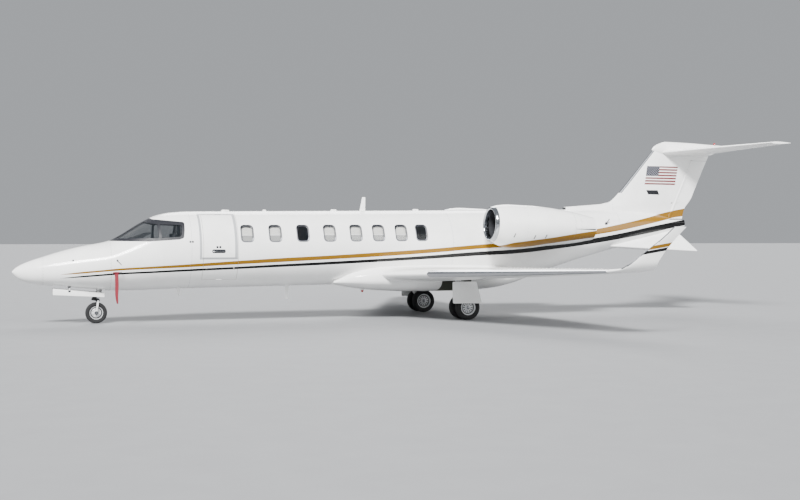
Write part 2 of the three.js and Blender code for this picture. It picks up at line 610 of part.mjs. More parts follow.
// Winglet sections up the blend from the wing tip
const WINGLET = [
  { y: 6700 + GAP, z: 1215, lead: 10260, trail: 11100, ratio: 0.1, lean: 0 },
  { y: 6900, z: 1250, lead: 10390, trail: 11140, ratio: 0.1, lean: 22 },
  { y: 7030, z: 1360, lead: 10560, trail: 11200, ratio: 0.09, lean: 52 },
  { y: 7100, z: 1560, lead: 10800, trail: 11300, ratio: 0.08, lean: 72 },
  { y: 7200, z: 1830, lead: 11130, trail: 11470, ratio: 0.08, lean: 76 },
  { y: 7265, z: 2030, lead: 11330, trail: 11590, ratio: 0.08, lean: 77 },
];
const fatFairing = fairing(GAP);
for (const side of SIDES) {
  const root = wingRing(WING_ROOT, side.sign);
  const tip = wingRing(WING_TIP, side.sign);
  let wing = loft([root, tip]).subtract(fatFairing).subtract(fatBody);
  wing = wing.subtract(wheelWells[side.sign < 0 ? 0 : 1]);
  const withFlap = hinged(wing, WING_ROOT, WING_TIP, FLAP, side.sign);
  const fairings = HINGE_FAIRING.at.map((y) => {
    const [front, aftEnd] = [HINGE_FAIRING.front, HINGE_FAIRING.aft].map((f) => {
      const s = along(WING_ROOT, WING_TIP, y);
      const chord = s.trail - s.lead;
      const under = s.z - halfThickness(f, s.ratio) * chord - HINGE_FAIRING.drop;
      return [s.lead + f * chord, side.sign * y, under];
    });
    return rod(front, aftEnd, HINGE_FAIRING.radius, HINGE_FAIRING.end);
  });
  part("flap_" + side.name, union(withFlap.surface, ...fairings), paint);
  const withAileron = hinged(withFlap.rest, WING_ROOT, WING_TIP, AILERON, side.sign);
  part("aileron_" + side.name, withAileron.surface, paint);
  const padY = side.sign * WING_PAD.y;
  const pad = rod([WING_PAD.x, padY, 1000], [WING_PAD.x, padY, WING_PAD.z], WING_PAD.radius);
  part("wing_" + side.name, withAileron.rest.add(pad), paint);
  part("winglet_" + side.name, loft(WINGLET.map((s) => wingRing(s, side.sign, s.lean))), paint);
}

// Aft fuselage, hollow behind its bulkhead, and the solid tail cone
let aft = bodyBetween(CABIN_END, AFT_END - GAP);
aft = aft.subtract(bodyBetween(CABIN_END + 60, AFT_END + 50, WALL));
part("aft_fuselage", aft, paint);
const rudderShelf = block(15780, 16500, -300, 300, TAIL_SHELF, 2700);
part("tail_cone", bodyBetween(AFT_END, TAIL_END).subtract(rudderShelf), paint);

// Fin: horizontal sections up from the fuselage, with a dorsal fairing run forward
const FIN = [
  { z: 2240, lead: 13750, trail: 16230, half: 95 },
  { z: 2600, lead: 13750, trail: 16330, half: 95 },
  { z: 2730, lead: 14130, trail: 16430, half: 92 },
  { z: 2850, lead: 14290, trail: 16520, half: 90 },
  { z: 3020, lead: 14455, trail: 16600, half: 86 },
  { z: STAB_CUT - GAP, lead: 15245, trail: 17020, half: 66 },
];
function finRing(row) {
  const chord = row.trail - row.lead;
  const ratio = row.half / chord / 0.5;
  const point = (f, sign) => [
    row.lead + f * chord, sign * (halfThickness(f, ratio) * chord + (f === 1 ? TRAILING_HALF : 0)), row.z];
  return [
    ...CHORD_STEPS.map((f) => point(f, 1)),
    ...CHORD_STEPS.slice(1).reverse().map((f) => point(f, -1)),
  ];
}
const DORSAL = [
  { x: 12880, half: 70, top: 2600 },
  { x: 13400, half: 80, top: 2640 },
  { x: 13890, half: 85, top: 2682 },
  { x: 14150, half: 80, top: 2725 },
  { x: 14800, half: 60, top: 2740 },
];
const DORSAL_BASE = 2300;
const DORSAL_POINTS = 12;
const dorsal = loft(DORSAL.map((row) => Array.from({ length: DORSAL_POINTS }, (_, i) => {
  const angle = (i / (DORSAL_POINTS - 1)) * Math.PI;
  const rise = Math.sin(angle) ** 0.4 * (row.top - DORSAL_BASE);
  return [row.x, Math.cos(angle) * row.half, DORSAL_BASE + rise];
})));
const finWhole = loft(FIN.map(finRing)).add(dorsal);
const rudderLean = (RUDDER.highX - RUDDER.lowX) / (RUDDER.highZ - RUDDER.lowZ);
const rudderX = (z) => RUDDER.lowX + (z - RUDDER.lowZ) * rudderLean;
function rudderRegion(grow) {
  const low = RUDDER.lowZ - grow;
  const high = RUDDER.highZ + grow;
  return slab([[rudderX(low), low], [17600, low], [17600, high], [rudderX(high), high]], "y", -300, 300);
}
// A bar on the rudder's hinge line, from its foot to its head and past them
function rudderBar(lowRadius, highRadius, below, above) {
  const low = RUDDER.lowZ - below;
  const high = RUDDER.highZ + above;
  return rod([rudderX(low), 0, low], [rudderX(high), 0, high], lowRadius, highRadius);
}
const shelfDrop = RUDDER.lowZ - TAIL_SHELF - HINGE_PIN.radius * Math.sin(Math.atan(rudderLean)) - 2 * GAP;
part("rudder", union(
  finWhole.intersect(rudderRegion(0)),
  rudderBar(RUDDER.lowNose, RUDDER.highNose, 0, 0),
  rudderBar(HINGE_PIN.radius, HINGE_PIN.radius, shelfDrop, HINGE_PIN.length - GAP),
), paint);
const fin = finWhole.subtract(rudderRegion(SURFACE_GAP))
  .subtract(rudderBar(RUDDER.lowNose + SURFACE_GAP, RUDDER.highNose + SURFACE_GAP, 60, HINGE_PIN.length))
  .subtract(fatBody);
part("fin", largest(fin), paint);

// Tailplane with the bullet fairing that caps the fin
const BULLET = [
  { x: 15370, half: 8, top: 4095, low: 4075 },
  { x: 15430, half: 40, top: 4165, low: 4010 },
  { x: 15560, half: 75, top: 4230, low: 3950 },
  { x: 15780, half: 100, top: 4290, low: STAB_CUT },
  { x: 16500, half: 100, top: 4275, low: STAB_CUT },
  { x: 17050, half: 75, top: 4250, low: 3960 },
  { x: 17440, half: 18, top: 4235, low: 4120 },
];
const BULLET_SIDES = 12;
const bullet = loft(BULLET.map((row) => Array.from({ length: BULLET_SIDES }, (_, i) => {
  const angle = (i / BULLET_SIDES) * Math.PI * 2;
  const mid = (row.top + row.low) / 2;
  return [row.x, Math.cos(angle) * row.half, mid + (Math.sin(angle) * (row.top - row.low)) / 2];
})));
const beacon = rod([16900, 0, 4200], [16900, 0, 4330], 38, 26);
let tailplane = union(bullet, beacon);
for (const side of SIDES) {
  const half = loft([wingRing({ ...STAB_ROOT, y: 0 }, side.sign), wingRing(STAB_TIP, side.sign)]);
  const split = hinged(half, STAB_ROOT, STAB_TIP, ELEVATOR, side.sign);
  part("elevator_" + side.name, split.surface, paint);
  tailplane = tailplane.add(split.rest);
}
tailplane = tailplane.subtract(finWhole.intersect(block(14000, 18000, -400, 400, 2000, STAB_CUT)));
part("tailplane", largest(tailplane), paint);

// Delta fins under the tail cone: thin triangles on the lower flanks
for (const side of SIDES) {
  const rootFront = new THREE.Vector3(13850, side.sign * 330, 1640);
  const rootAft = new THREE.Vector3(15980, side.sign * 60, 2060);
  const tip = new THREE.Vector3(16100, side.sign * 930, 1510);
  const across = rootAft.clone().sub(rootFront).cross(tip.clone().sub(rootFront)).normalize();
  const face = (offset) => [rootFront, rootAft, tip].map((p) =>
    p.clone().addScaledVector(across, offset).toArray());
  part("delta_fin_" + side.name, loft([face(-17), face(17)]).subtract(fatBody), paint);
}

// Engines: block and pylon, cowling, fan and exhaust nozzle, each drooped along its axis
const COWL = [
  [0, 405], [14, 426], [80, 448], [420, 471], [950, 467], [1400, 440], [1745, 402],
  [COWL_TAIL.x, COWL_TAIL.outer],
];
const INTAKE = [
  [COWL_TAIL.x, COWL_TAIL.inner], [700, 362], [430, 362], [160, 350], [30, 370],
];
const PYLON_SECTION = [
  [560, 0], [700, 62], [1000, 75], [1700, 70], [2300, 20],
  [2300, -20], [1700, -70], [1000, -75], [700, -62],
];
for (const side of SIDES) {
  const place = (shape) => {
    const mesh = shape.rotate([0, (ENGINE.droop * 180) / Math.PI, 0]);
    return mesh.translate([ENGINE.x, side.sign * ENGINE.y, ENGINE.z]);
  };
  const inboard = -side.sign;
  const pylonAt = (grow) => slab(
    PYLON_SECTION.map(([x, z]) => [x + Math.sign(x - 1400) * grow, z + Math.sign(z) * grow]),
    "y", Math.min(inboard * PYLON.inner, inboard * PYLON.outer),
    Math.max(inboard * PYLON.inner, inboard * PYLON.outer));
  const core = turnedAboutX([[640, 0], [640, 355], [1300, 330], [1950, 305], [1950, 0]], NACELLE_SIDES);
  const fanRear = turnedAboutX([[600, 0], [600, 90], [660, 90], [660, 0]], FAN.hubSides);
  const cowl = turnedAboutX([...COWL, ...INTAKE], NACELLE_SIDES);
  const engine = place(union(core, fanRear, pylonAt(0))).subtract(fatBody);
  const coreRoom = turnedAboutX(
    [[600, 0], [600, 355 + GAP], [1300, 330 + GAP], [2200, 296], [2200, 0]], NACELLE_SIDES);
  part("engine_and_pylon_" + side.name, largest(engine), greyPaint);
  part("nacelle_" + side.name, place(cowl.subtract(coreRoom).subtract(pylonAt(GAP))), paint);
  const nozzle = turnedAboutX([
    [COWL_TAIL.x + GAP, COWL_TAIL.inner], [COWL_TAIL.x + GAP, COWL_TAIL.outer],
    [2400, 300], [2700, 232], [2700, 222], [2400, 262],
  ], NACELLE_SIDES);
  part("exhaust_nozzle_" + side.name, place(nozzle.subtract(pylonAt(GAP))), paint);
  let fan = turnedAboutX([
    [200, 0], [230, 40], [300, 80], [380, FAN.spinner], [540, FAN.spinner],
    [600 - GAP, 60], [600 - GAP, 0],
  ], FAN.hubSides);
  const bladeRoot = FAN.spinner - 30;
  const bladeAt = (corners, radius) => corners.map(([x, y]) => [x, y, radius]);
  const oneBlade = loft([
    bladeAt([[410, -22], [520, 22], [520, 34], [410, -10]], bladeRoot),
    bladeAt([[430, -46], [500, 34], [503, 42], [433, -38]], FAN.radius),
  ]);
  for (let i = 0; i < FAN.blades; i++) fan = fan.add(oneBlade.rotate([(i / FAN.blades) * 360, 0, 0]));
  part("fan_" + side.name, place(fan), darkMetal);
}

// Nose gear: raked leg, steered fork, wheel and tyre, and the two bay doors
const strutX = (z) => NOSE_AXLE.x + STRUT_RAKE * (z - NOSE_AXLE.z);
const strut = (z0, z1, radius) => rod([strutX(z0), 0, z0], [strutX(z1), 0, z1], radius);
const aboveRoof = block(BAY.front, BAY.aft, -BAY.half, BAY.half, BAY.roof - GAP, BAY.roof + 100);
part("nose_leg", union(
  strut(FORK.top, BAY.roof + 10, 48),
  strut(BAY.roof - 40, BAY.roof + 10, 60),
  rod([strutX(700), 0, 700], [1330, 0, BAY.roof - 60], 20),
).subtract(aboveRoof), steel);
const forkGap = NOSE_TYRE.halfWidth + 14;
const forkX = strutX(FORK.crown);
function forkBar(past, radius) {
  return rod([forkX, -forkGap - past, FORK.crown], [forkX, forkGap + past, FORK.crown], radius);
}
function noseAxle(reach, radius) {
  const { x, z } = NOSE_AXLE;
  return rod([x, -reach, z], [x, reach, z], radius, radius, AXLE.sides);
}
let fork = union(
  strut(FORK.shoulder, FORK.top - GAP, 36),
  forkBar(22, 42),
);
for (const side of SIDES) {
  const armY = side.sign * (forkGap + 12);
  const arm = rod([forkX, armY, FORK.crown], [NOSE_AXLE.x, armY, NOSE_AXLE.z], 26);
  const end = rod([NOSE_AXLE.x, side.sign * (forkGap - 4), NOSE_AXLE.z],
    [NOSE_AXLE.x, side.sign * (forkGap + 30), NOSE_AXLE.z], 38);
  fork = union(fork, arm, end);
}
part("nose_fork", union(fork.subtract(noseAxle(200, AXLE.noseHole)), forkBar(60, 16)), steel);

// A tyre's profile: tread, shoulders, sidewalls and bead, as [radius, y]
function tyreProfile({ radius, halfWidth, rim }) {
  return [
    [rim, -halfWidth * 0.7], [radius * 0.8, -halfWidth], [radius * 0.95, -halfWidth * 0.8],
    [radius, -halfWidth * 0.35], [radius, halfWidth * 0.35], [radius * 0.95, halfWidth * 0.8],
    [radius * 0.8, halfWidth], [rim, halfWidth * 0.7],
  ];
}
// A wheel: hub, web and rim, dished on both faces, as [radius, y]
function wheelProfile({ halfWidth, rim }) {
  const edge = halfWidth * 0.6;
  const outer = rim - GAP;
  return [
    [0, -edge * 0.9], [rim * 0.38, -edge * 0.9], [rim * 0.86, -edge * 0.4],
    [rim * 0.86, -edge], [outer, -edge], [outer, edge], [rim * 0.86, edge], [rim * 0.86, edge * 0.4],
    [rim * 0.38, edge * 0.9], [0, edge * 0.9],
  ];
}
const noseHub = [NOSE_AXLE.x, 0, NOSE_AXLE.z];
part("nose_tyre", turnedAboutY(tyreProfile(NOSE_TYRE), noseHub, WHEEL_SIDES), rubber);
part("nose_wheel", union(
  turnedAboutY(wheelProfile(NOSE_TYRE), noseHub, WHEEL_SIDES),
  noseAxle(forkGap + 20, AXLE.nose),
), metal);
for (const side of SIDES) {
  const panel = sideSlab([[830, BAY_DOOR.lip], [1860, 660], [1860, 578], [830, 632]],
    side.sign, BAY_DOOR.inner, BAY_DOOR.outer);
  const arms = [900, 1720].map((x) => {
    const top = BAY_DOOR.lip - (x - 830) * BAY_DOOR.slope;
    return union(
      block(x, x + 50, side.sign * 150, side.sign * (BAY.half - GAP), top - 40, 900),
      block(x, x + 50, side.sign * 150, side.sign * 190, top - 40, top - 15),
    );
  });
  part("nose_gear_door_" + side.name, union(panel, ...arms), paint);
}

// Main gear: trailing-link leg, twin wheels on one axle, two tyres and the door on the leg
function mainAxle(y, reach, radius) {
  const { x, z } = MAIN_AXLE;
  return rod([x, y - reach, z], [x, y + reach, z], radius, radius, AXLE.sides);
}
for (const side of SIDES) {
  const y = (side.sign * MAIN_TRACK) / 2;
  const { x, z } = MAIN_AXLE;
  let leg = union(
    rod([MAIN_LEG.x, y, MAIN_LEG.knee], [MAIN_LEG.x, y, WELL.roof - GAP], 62),
    rod([MAIN_LEG.x - 15, y, MAIN_LEG.knee + 30], [x, y, z], 52, 46),
    rod([x, y - MAIN_LEG.half, z], [x, y + MAIN_LEG.half, z], 62),
    rod([x, y, z + 30], [MAIN_LEG.x + 80, y, 860], 30),
    rod([MAIN_LEG.x - 40, y, 820], [MAIN_LEG.x + 140, y, 820], 40),
    rod([MAIN_LEG.x, y, 640], [MAIN_LEG.x, y + side.sign * 300, 640], 24),
  );
  leg = leg.subtract(mainAxle(y, 200, AXLE.mainHole));
  part("main_gear_leg_" + side.name, leg, greyPaint);
  const wheels = [-1, 1].map((twin) => [x, y + twin * TWIN_HALF, z]);
  part("main_wheels_" + side.name, union(
    ...wheels.map((centre) => turnedAboutY(wheelProfile(MAIN_TYRE), centre, WHEEL_SIDES)),
    mainAxle(y, TWIN_HALF + 60, AXLE.main),
  ), metal);
  wheels.forEach((centre, i) => {
    const place = (centre[1] - y) * side.sign > 0 ? "outer" : "inner";
    const tyre = turnedAboutY(tyreProfile(MAIN_TYRE), centre, WHEEL_SIDES);
    part("main_tyre_" + side.name + "_" + place, tyre, rubber);
  });
  const plate = sideSlab([[9230, 862], [9800, 862], [9940, 372], [9240, 380]], side.sign,
    MAIN_TRACK / 2 + 300 + GAP, MAIN_TRACK / 2 + 322);
  part("main_gear_door_" + side.name, plate, paint);
}

// Pitot probes under red covers, each with a warning ribbon that hangs from it
const PITOT = { x: 2085, root: 650, y: 750, z: 1105 };
const RIBBON = { x: 2040, half: 27, thick: 2, low: 450 };
for (const side of SIDES) {
  const { x, z } = PITOT;
  const y = side.sign * PITOT.y;
  const sleeve = rod([x - 90, y, z], [x + 40, y, z], 14);
  const stem = rod([x + 30, y, z], [x + 70, side.sign * PITOT.root, z + 4], 11);
  const ribbon = block(
    RIBBON.x - RIBBON.half, RIBBON.x + RIBBON.half, y - RIBBON.thick, y + RIBBON.thick, RIBBON.low, z);
  part("pitot_cover_" + side.name, largest(union(sleeve, stem, ribbon).subtract(fatBody)), redFabric);
}

const station = new THREE.Group();
station.position.x = -LENGTH / 2;
station.add(...meshes);
const aircraft = new THREE.Group();
aircraft.name = "business_jet";
aircraft.add(station);

export default aircraft;
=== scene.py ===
import math

import bmesh
import bpy
import numpy as np
from mathutils import Matrix, Vector


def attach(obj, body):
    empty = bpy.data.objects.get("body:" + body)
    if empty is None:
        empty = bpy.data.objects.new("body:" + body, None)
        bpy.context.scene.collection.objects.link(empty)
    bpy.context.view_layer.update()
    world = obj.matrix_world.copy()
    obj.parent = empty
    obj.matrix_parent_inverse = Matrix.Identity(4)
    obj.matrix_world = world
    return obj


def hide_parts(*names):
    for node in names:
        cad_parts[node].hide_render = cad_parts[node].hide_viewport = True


# A white business jet with gold and black stripes, parked on its wheels.
# All tables are in metres: stations x count aft from the nose tip, y is to starboard, z is up.
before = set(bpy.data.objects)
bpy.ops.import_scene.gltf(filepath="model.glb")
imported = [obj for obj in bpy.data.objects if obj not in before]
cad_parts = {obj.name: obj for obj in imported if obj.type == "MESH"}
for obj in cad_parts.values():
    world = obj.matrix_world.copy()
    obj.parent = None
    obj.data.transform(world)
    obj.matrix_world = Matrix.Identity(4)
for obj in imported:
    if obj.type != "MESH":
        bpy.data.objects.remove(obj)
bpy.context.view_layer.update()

NOSE_X = -8.78
WALL = 0.09
# Takes a shape built about station 0 to the origin
HOME = Matrix.Translation((-NOSE_X, 0, 0))
SIDES = (("left", -1), ("right", 1))

# Numbers and curves


def curve(table, column):
    """Smooth, never overshooting interpolation of one column of a table over its first column."""
    xs = np.array([row[0] for row in table], float)
    ys = np.array([row[column] for row in table], float)
    slope = np.diff(ys) / np.diff(xs)
    before, after = slope[:-1], slope[1:]
    together = before * after > 0
    inner = np.where(together, 2 * before * after / np.where(together, before + after, 1), 0)
    tangent = np.concatenate([[slope[0]], inner, [slope[-1]]])

    def at(x):
        x = np.clip(x, xs[0], xs[-1])
        k = np.clip(np.searchsorted(xs, x, side="right") - 1, 0, len(xs) - 2)
        width = xs[k + 1] - xs[k]
        t = (x - xs[k]) / width
        blend = t * t * (3 - 2 * t)
        bulge = width * (t * (1 - t) ** 2 * tangent[k] - t * t * (1 - t) * tangent[k + 1])
        return ys[k] * (1 - blend) + ys[k + 1] * blend + bulge

    return at


# Fuselage sections: station, crown height, keel height, half width, height of greatest width
BODY = [
    (0, 1.130, 1.110, 0.010, 1.120), (0.04, 1.180, 1.050, 0.070, 1.118),
    (0.16, 1.262, 0.950, 0.150, 1.116), (0.36, 1.350, 0.880, 0.240, 1.120),
    (0.6, 1.430, 0.838, 0.325, 1.130), (0.96, 1.545, 0.795, 0.432, 1.155),
    (1.37, 1.650, 0.748, 0.540, 1.200), (1.94, 1.765, 0.705, 0.672, 1.290),
    (2.1, 1.840, 0.700, 0.702, 1.320), (2.7, 2.205, 0.704, 0.790, 1.430),
    (2.95, 2.320, 0.714, 0.818, 1.480), (3.24, 2.385, 0.722, 0.842, 1.530),
    (3.62, 2.415, 0.728, 0.862, 1.565), (4.7, 2.430, 0.742, 0.875, 1.585),
    (8.0, 2.470, 0.780, 0.875, 1.625), (10.4, 2.502, 0.815, 0.875, 1.660),
    (11.4, 2.518, 0.890, 0.835, 1.715), (12.37, 2.534, 1.070, 0.745, 1.810),
    (13.13, 2.542, 1.290, 0.645, 1.900), (14.1, 2.540, 1.540, 0.500, 2.010),
    (15.2, 2.470, 1.815, 0.315, 2.130), (16.36, 2.310, 2.110, 0.075, 2.215),
]
crown, keel, half_width, mid_height = (curve(BODY, column) for column in (1, 2, 3, 4))
RADOME_END, NOSE_END, COCKPIT_END, CABIN_END = 0.6, 1.975, 3.62, 9.6
AFT_END, TAIL_END, TAIL_SHELF = 14.2, 16.29, 2.3
BODY_SIDES, BODY_STEP = 96, 0.06


def body_ring(x, inset=0.0, sides=BODY_SIDES):
    """One fuselage ring: an upper and a lower half ellipse that share their width."""
    angle = np.arange(sides) * 2 * math.pi / sides
    rise = np.sin(angle)
    up = crown(x) - mid_height(x) - inset
    down = mid_height(x) - keel(x) - inset
    z = mid_height(x) + rise * np.where(rise > 0, up, down)
    return np.stack([np.full(sides, x), (half_width(x) - inset) * np.cos(angle), z], 1)


def wall_y(x, z, inset=0.0):
    """Distance of the fuselage wall from the centre plane."""
    rise = z - mid_height(x)
    reach = np.where(rise > 0, crown(x) - mid_height(x), mid_height(x) - keel(x)) - inset
    return (half_width(x) - inset) * np.sqrt(np.maximum(0, 1 - (rise / reach) ** 2))


def body_field(points):
    """Outward direction of the fuselage surface at points in the frame, and their distance from it."""
    x, y, z = points[:, 0] - NOSE_X, points[:, 1], points[:, 2]

    def level(x, y, z):
        rise = z - mid_height(x)
        tall = np.where(rise > 0, crown(x) - mid_height(x), mid_height(x) - keel(x))
        return np.sqrt((y / half_width(x)) ** 2 + (rise / tall) ** 2) - 1

    d = 1e-4
    slope = np.stack([
        level(x + d, y, z) - level(x - d, y, z),
        level(x, y + d, z) - level(x, y - d, z),
        level(x, y, z + d) - level(x, y, z - d),
    ], 1) / (2 * d)
    steep = np.maximum(np.linalg.norm(slope, axis=1), 1e-9)
    return slope / steep[:, None], level(x, y, z) / steep


# Mesh making


def clean(obj):
    """Merges doubles and turns every face outward."""
    work = bmesh.new()
    work.from_mesh(obj.data)
    bmesh.ops.remove_doubles(work, verts=work.verts, dist=1e-5)
    bmesh.ops.dissolve_degenerate(work, edges=work.edges, dist=1e-6)
    bmesh.ops.recalc_face_normals(work, faces=work.faces)
    work.to_mesh(obj.data)
    work.free()
    return obj


def placed(name, data):
    """A new object in the scene for a mesh, lamp or camera."""
    obj = bpy.data.objects.new(name, data)
    bpy.context.scene.collection.objects.link(obj)
    return obj


def raw(name, points, faces=()):
    """A mesh object as given, from points with their station, y and z."""
    mesh = bpy.data.meshes.new(name)
    mesh.from_pydata([(x + NOSE_X, y, z) for x, y, z in points], [], faces)
    return placed(name, mesh)


def skin(name, rings, loop=False):
    """A body skinned over rings of equally many points; loop joins the last ring to the first."""
    rings = np.asarray(rings, float)
    count, sides = rings.shape[:2]
    faces = []
    for r in range(count if loop else count - 1):
        for s in range(sides):
            t = (s + 1) % sides
            a, b = r * sides, ((r + 1) % count) * sides
            faces.append((a + s, a + t, b + t, b + s))
    if not loop:
        faces.append(tuple(reversed(range(sides))))
        faces.append(tuple(range((count - 1) * sides, count * sides)))
    return clean(raw(name, rings.reshape(-1, 3), faces))


def body_solid(name, start, end, inset=0.0):
    """A full stretch of fuselage, smaller all round by an inset."""
    steps = max(2, math.ceil((end - start) / BODY_STEP))
    return skin(name, [body_ring(x, inset) for x in np.linspace(start, end, steps + 1)])


def slab(name, outline, axis, low, high):
    """Extrudes an outline between two places on the named axis."""
    place = {
        "x": lambda p, q, w: (w, p, q),
        "y": lambda p, q, w: (p, w, q),
        "z": lambda p, q, w: (p, q, w),
    }[axis]
    return skin(name, [[place(p, q, w) for p, q in outline] for w in (low, high)])


def side_slab(name, outline, sign, near, far):
    """Extrudes a side outline between two distances from the centre plane."""
    return slab(name, outline, "y", *sorted((sign * near, sign * far)))


def rounded(outline, radius, steps=6):
    """An outline whose corners are rounded by arcs, as far as its edges are long enough."""
    points = [Vector(p) for p in outline]
    found = []
    for i, corner in enumerate(points):
        before = points[i - 1] - corner
        after = points[(i + 1) % len(points)] - corner
        angle = before.angle(after)
        reach = min(radius / math.tan(angle / 2), before.length * 0.48, after.length * 0.48)
        start, end = corner + before.normalized() * reach, corner + after.normalized() * reach
        for k in range(steps + 1):
            t = k / steps
            found.append(tuple((1 - t) ** 2 * start + 2 * t * (1 - t) * corner + t * t * end))
    return found


def plate(finish, outline, sign, near, far, edge, segments=2):
    """A side outline extruded between two distances, with rounded edges, in its own finish."""
    return dressed(soften(side_slab("plate", outline, sign, near, far), edge, segments), finish)


def rectangle(x0, x1, z0, z1):
    return [(x0, z0), (x1, z0), (x1, z1), (x0, z1)]


def box(name, low, high, bevel):
    """A block, with rounded edges where a bevel is given."""
    (x0, y0, z0), (x1, y1, z1) = low, high
    obj = slab(name, rectangle(x0, x1, z0, z1), "y", min(y0, y1), max(y0, y1))
    return soften(obj, bevel) if bevel else obj


def blocks(*rows):
    """Rounded blocks, each from its finish, name, corners and edge radius."""
    return [dressed(box(*row), finish) for finish, *row in rows]


def soften(obj, width, segments=2):
    """Rounds the edges where faces meet at more than 30 degrees."""
    edge = obj.modifiers.new("edge", "BEVEL")
    edge.width, edge.segments = width, segments
    edge.limit_method, edge.angle_limit = "ANGLE", math.radians(30)
    return bake(obj)


def turned(name, profile, axis="x", sides=64, matrix=None):
    """A body turned about an axis from a closed profile of (place along the axis, radius) points."""
    rings = []
    for i in range(sides):
        c, s = math.cos(2 * math.pi * i / sides), math.sin(2 * math.pi * i / sides)
        if axis == "x":
            rings.append([(a, r * c, r * s) for a, r in profile])
        else:
            rings.append([(r * c, a, r * s) for a, r in profile])
    if matrix is not None:
        rings = [[tuple(matrix @ Vector(p)) for p in ring] for ring in rings]
    return skin(name, rings, loop=True)


def along(start, end):
    """Matrix that takes the X axis onto the line from start to end."""
    direction = (Vector(end) - Vector(start)).normalized()
    return Matrix.Translation(start) @ direction.to_track_quat("X", "Z").to_matrix().to_4x4()


def bar(name, start, end, radius, end_radius=None, sides=24, bevel=0.003):
    """A round bar with chamfered ends."""
    end_radius = radius if end_radius is None else end_radius
    length = (Vector(end) - Vector(start)).length
    profile = [
        (0, 0), (0, radius - bevel), (bevel, radius),
        (length - bevel, end_radius), (length, end_radius - bevel), (length, 0),
    ]
    return turned(name, profile, "x", sides, along(start, end))


def rods(*rows):
    """Round bars, each from its finish, name, ends and sizes."""
    return [dressed(bar(*row), finish) for finish, *row in rows]


def pipe(name, points, radius, sides=12):
    """A bent round tube through points."""
    points = [Vector(p) for p in points]
    rings = []
    for i, point in enumerate(points):
        a, b = points[max(i - 1, 0)], points[min(i + 1, len(points) - 1)]
        turn = (b - a).normalized().to_track_quat("X", "Z").to_matrix()
        rings.append([
            tuple(point + turn @ Vector((0, radius * math.cos(t), radius * math.sin(t))))
            for t in np.arange(sides) * 2 * math.pi / sides])
    return skin(name, rings)


def bake(obj):
    """Replaces the mesh by what the object's modifiers make of it."""
    graph = bpy.context.evaluated_depsgraph_get()
    mesh = bpy.data.meshes.new_from_object(obj.evaluated_get(graph))
    obj.modifiers.clear()
    obj.data = mesh
    return obj


def discard(*objects):
    for obj in objects:
        bpy.data.objects.remove(obj)


def carve(obj, *tools, how="DIFFERENCE"):
    """Cuts an object with tools, or keeps what they share, or joins them; the tools are used up."""
    for tool in tools:
        cut = obj.modifiers.new("cut", "BOOLEAN")
        cut.operation, cut.solver, cut.object = how, "MANIFOLD", tool
    bake(obj)
    discard(*tools)
    return obj


def fuse(obj, *tools):
    """Joins tools into an object."""
    return carve(obj, *tools, how="UNION")


def common(obj, *tools):
    """Keeps what an object shares with tools."""
    return carve(obj, *tools, how="INTERSECT")


def copy_of(obj, name):
    return placed(name, obj.data.copy())


def joined(name, *objects):
    """One piece of several, with their materials kept."""
    first = objects[0]
    if len(objects) > 1:
        with bpy.context.temp_override(
                active_object=first, object=first, selected_objects=list(objects),
                selected_editable_objects=list(objects)):
            bpy.ops.object.join()
    first.name = name
    return first


def read(items, key, width=1, kind=float):
    """One attribute of all items of a mesh, as an array."""
    values = np.zeros(len(items) * width, kind)
    items.foreach_get(key, values)
    return values.reshape(-1, width) if width > 1 else values


def shade(obj, angle=30, field=None):
    """Smooth shading up to an angle. A field gives cut pieces the normals of their true surface."""
    mesh = obj.data
    mesh.shade_smooth()
    mesh.set_sharp_from_angle(angle=math.radians(angle))
    if field is None:
        return obj
    corner = read(mesh.corner_normals, "vector", 3)
    vertex = read(mesh.loops, "vertex_index", kind=int)
    sizes = read(mesh.polygons, "loop_total", kind=int)
    flat = np.repeat(read(mesh.polygons, "normal", 3), sizes, axis=0)
    normal, distance = field(read(mesh.vertices, "co", 3))
    near = np.abs(distance[vertex]) < 0.002
    level = np.einsum("ij,ij->i", flat, normal[vertex]) > 0.93
    corner[near & level] = normal[vertex][near & level]
    mesh.normals_split_custom_set(corner.tolist())
    return obj


def dressed(obj, *finishes):
    """Gives a part its own finish before it is joined to others; later ones go to chosen faces."""
    obj.data.materials.clear()
    for finish in finishes:
        obj.data.materials.append(finish)
    return obj


def piece(obj, finish, slot, *nodes, body="airframe"):
    """Gives a finished piece its material, the nodes it replaces and the body it rides on; the slot is not
    used.
    """
    if finish is not None:
        dressed(obj, finish)
    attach(obj, body)
    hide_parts(*nodes)
    return obj


def hull_piece(obj, finish, *nodes, body="airframe"):
    """A painted piece of the fuselage's wall, shaded as the whole fuselage is."""
    return piece(shade(obj, field=body_field), finish, "white_paint", *nodes, body=body)


def assembly(name, parts, slot, *nodes, body="airframe", angle=35):
    """One piece of parts that have their own finishes."""
    return piece(shade(joined(name, *parts), angle), None, slot, *nodes, body=body)


def paint_where(obj, finish, chosen):
    """Gives a second material to the faces that a test on centre and normal picks."""
    mesh = obj.data
    mesh.materials.append(finish)
    index = len(mesh.materials) - 1
    for face in mesh.polygons:
        c = face.center
        if chosen(c.x - NOSE_X, c.y, c.z, face.normal):
            face.material_index = index
    return obj


# Node trees


def add(tree, kind, inputs=(), **settings):
    """Adds one node, sets its properties, and links or sets its inputs by name or number."""
    made = tree.nodes.new(kind)
    for key, value in settings.items():
        setattr(made, key, value)
    for key, value in dict(inputs).items():
        if isinstance(value, bpy.types.NodeSocket):
            tree.links.new(value, made.inputs[key])
        else:
            made.inputs[key].default_value = value
    return made


def calc(tree, operation, *values):
    """One number worked out from numbers and sockets."""
    return add(tree, "ShaderNodeMath", dict(enumerate(values)), operation=operation).outputs[0]


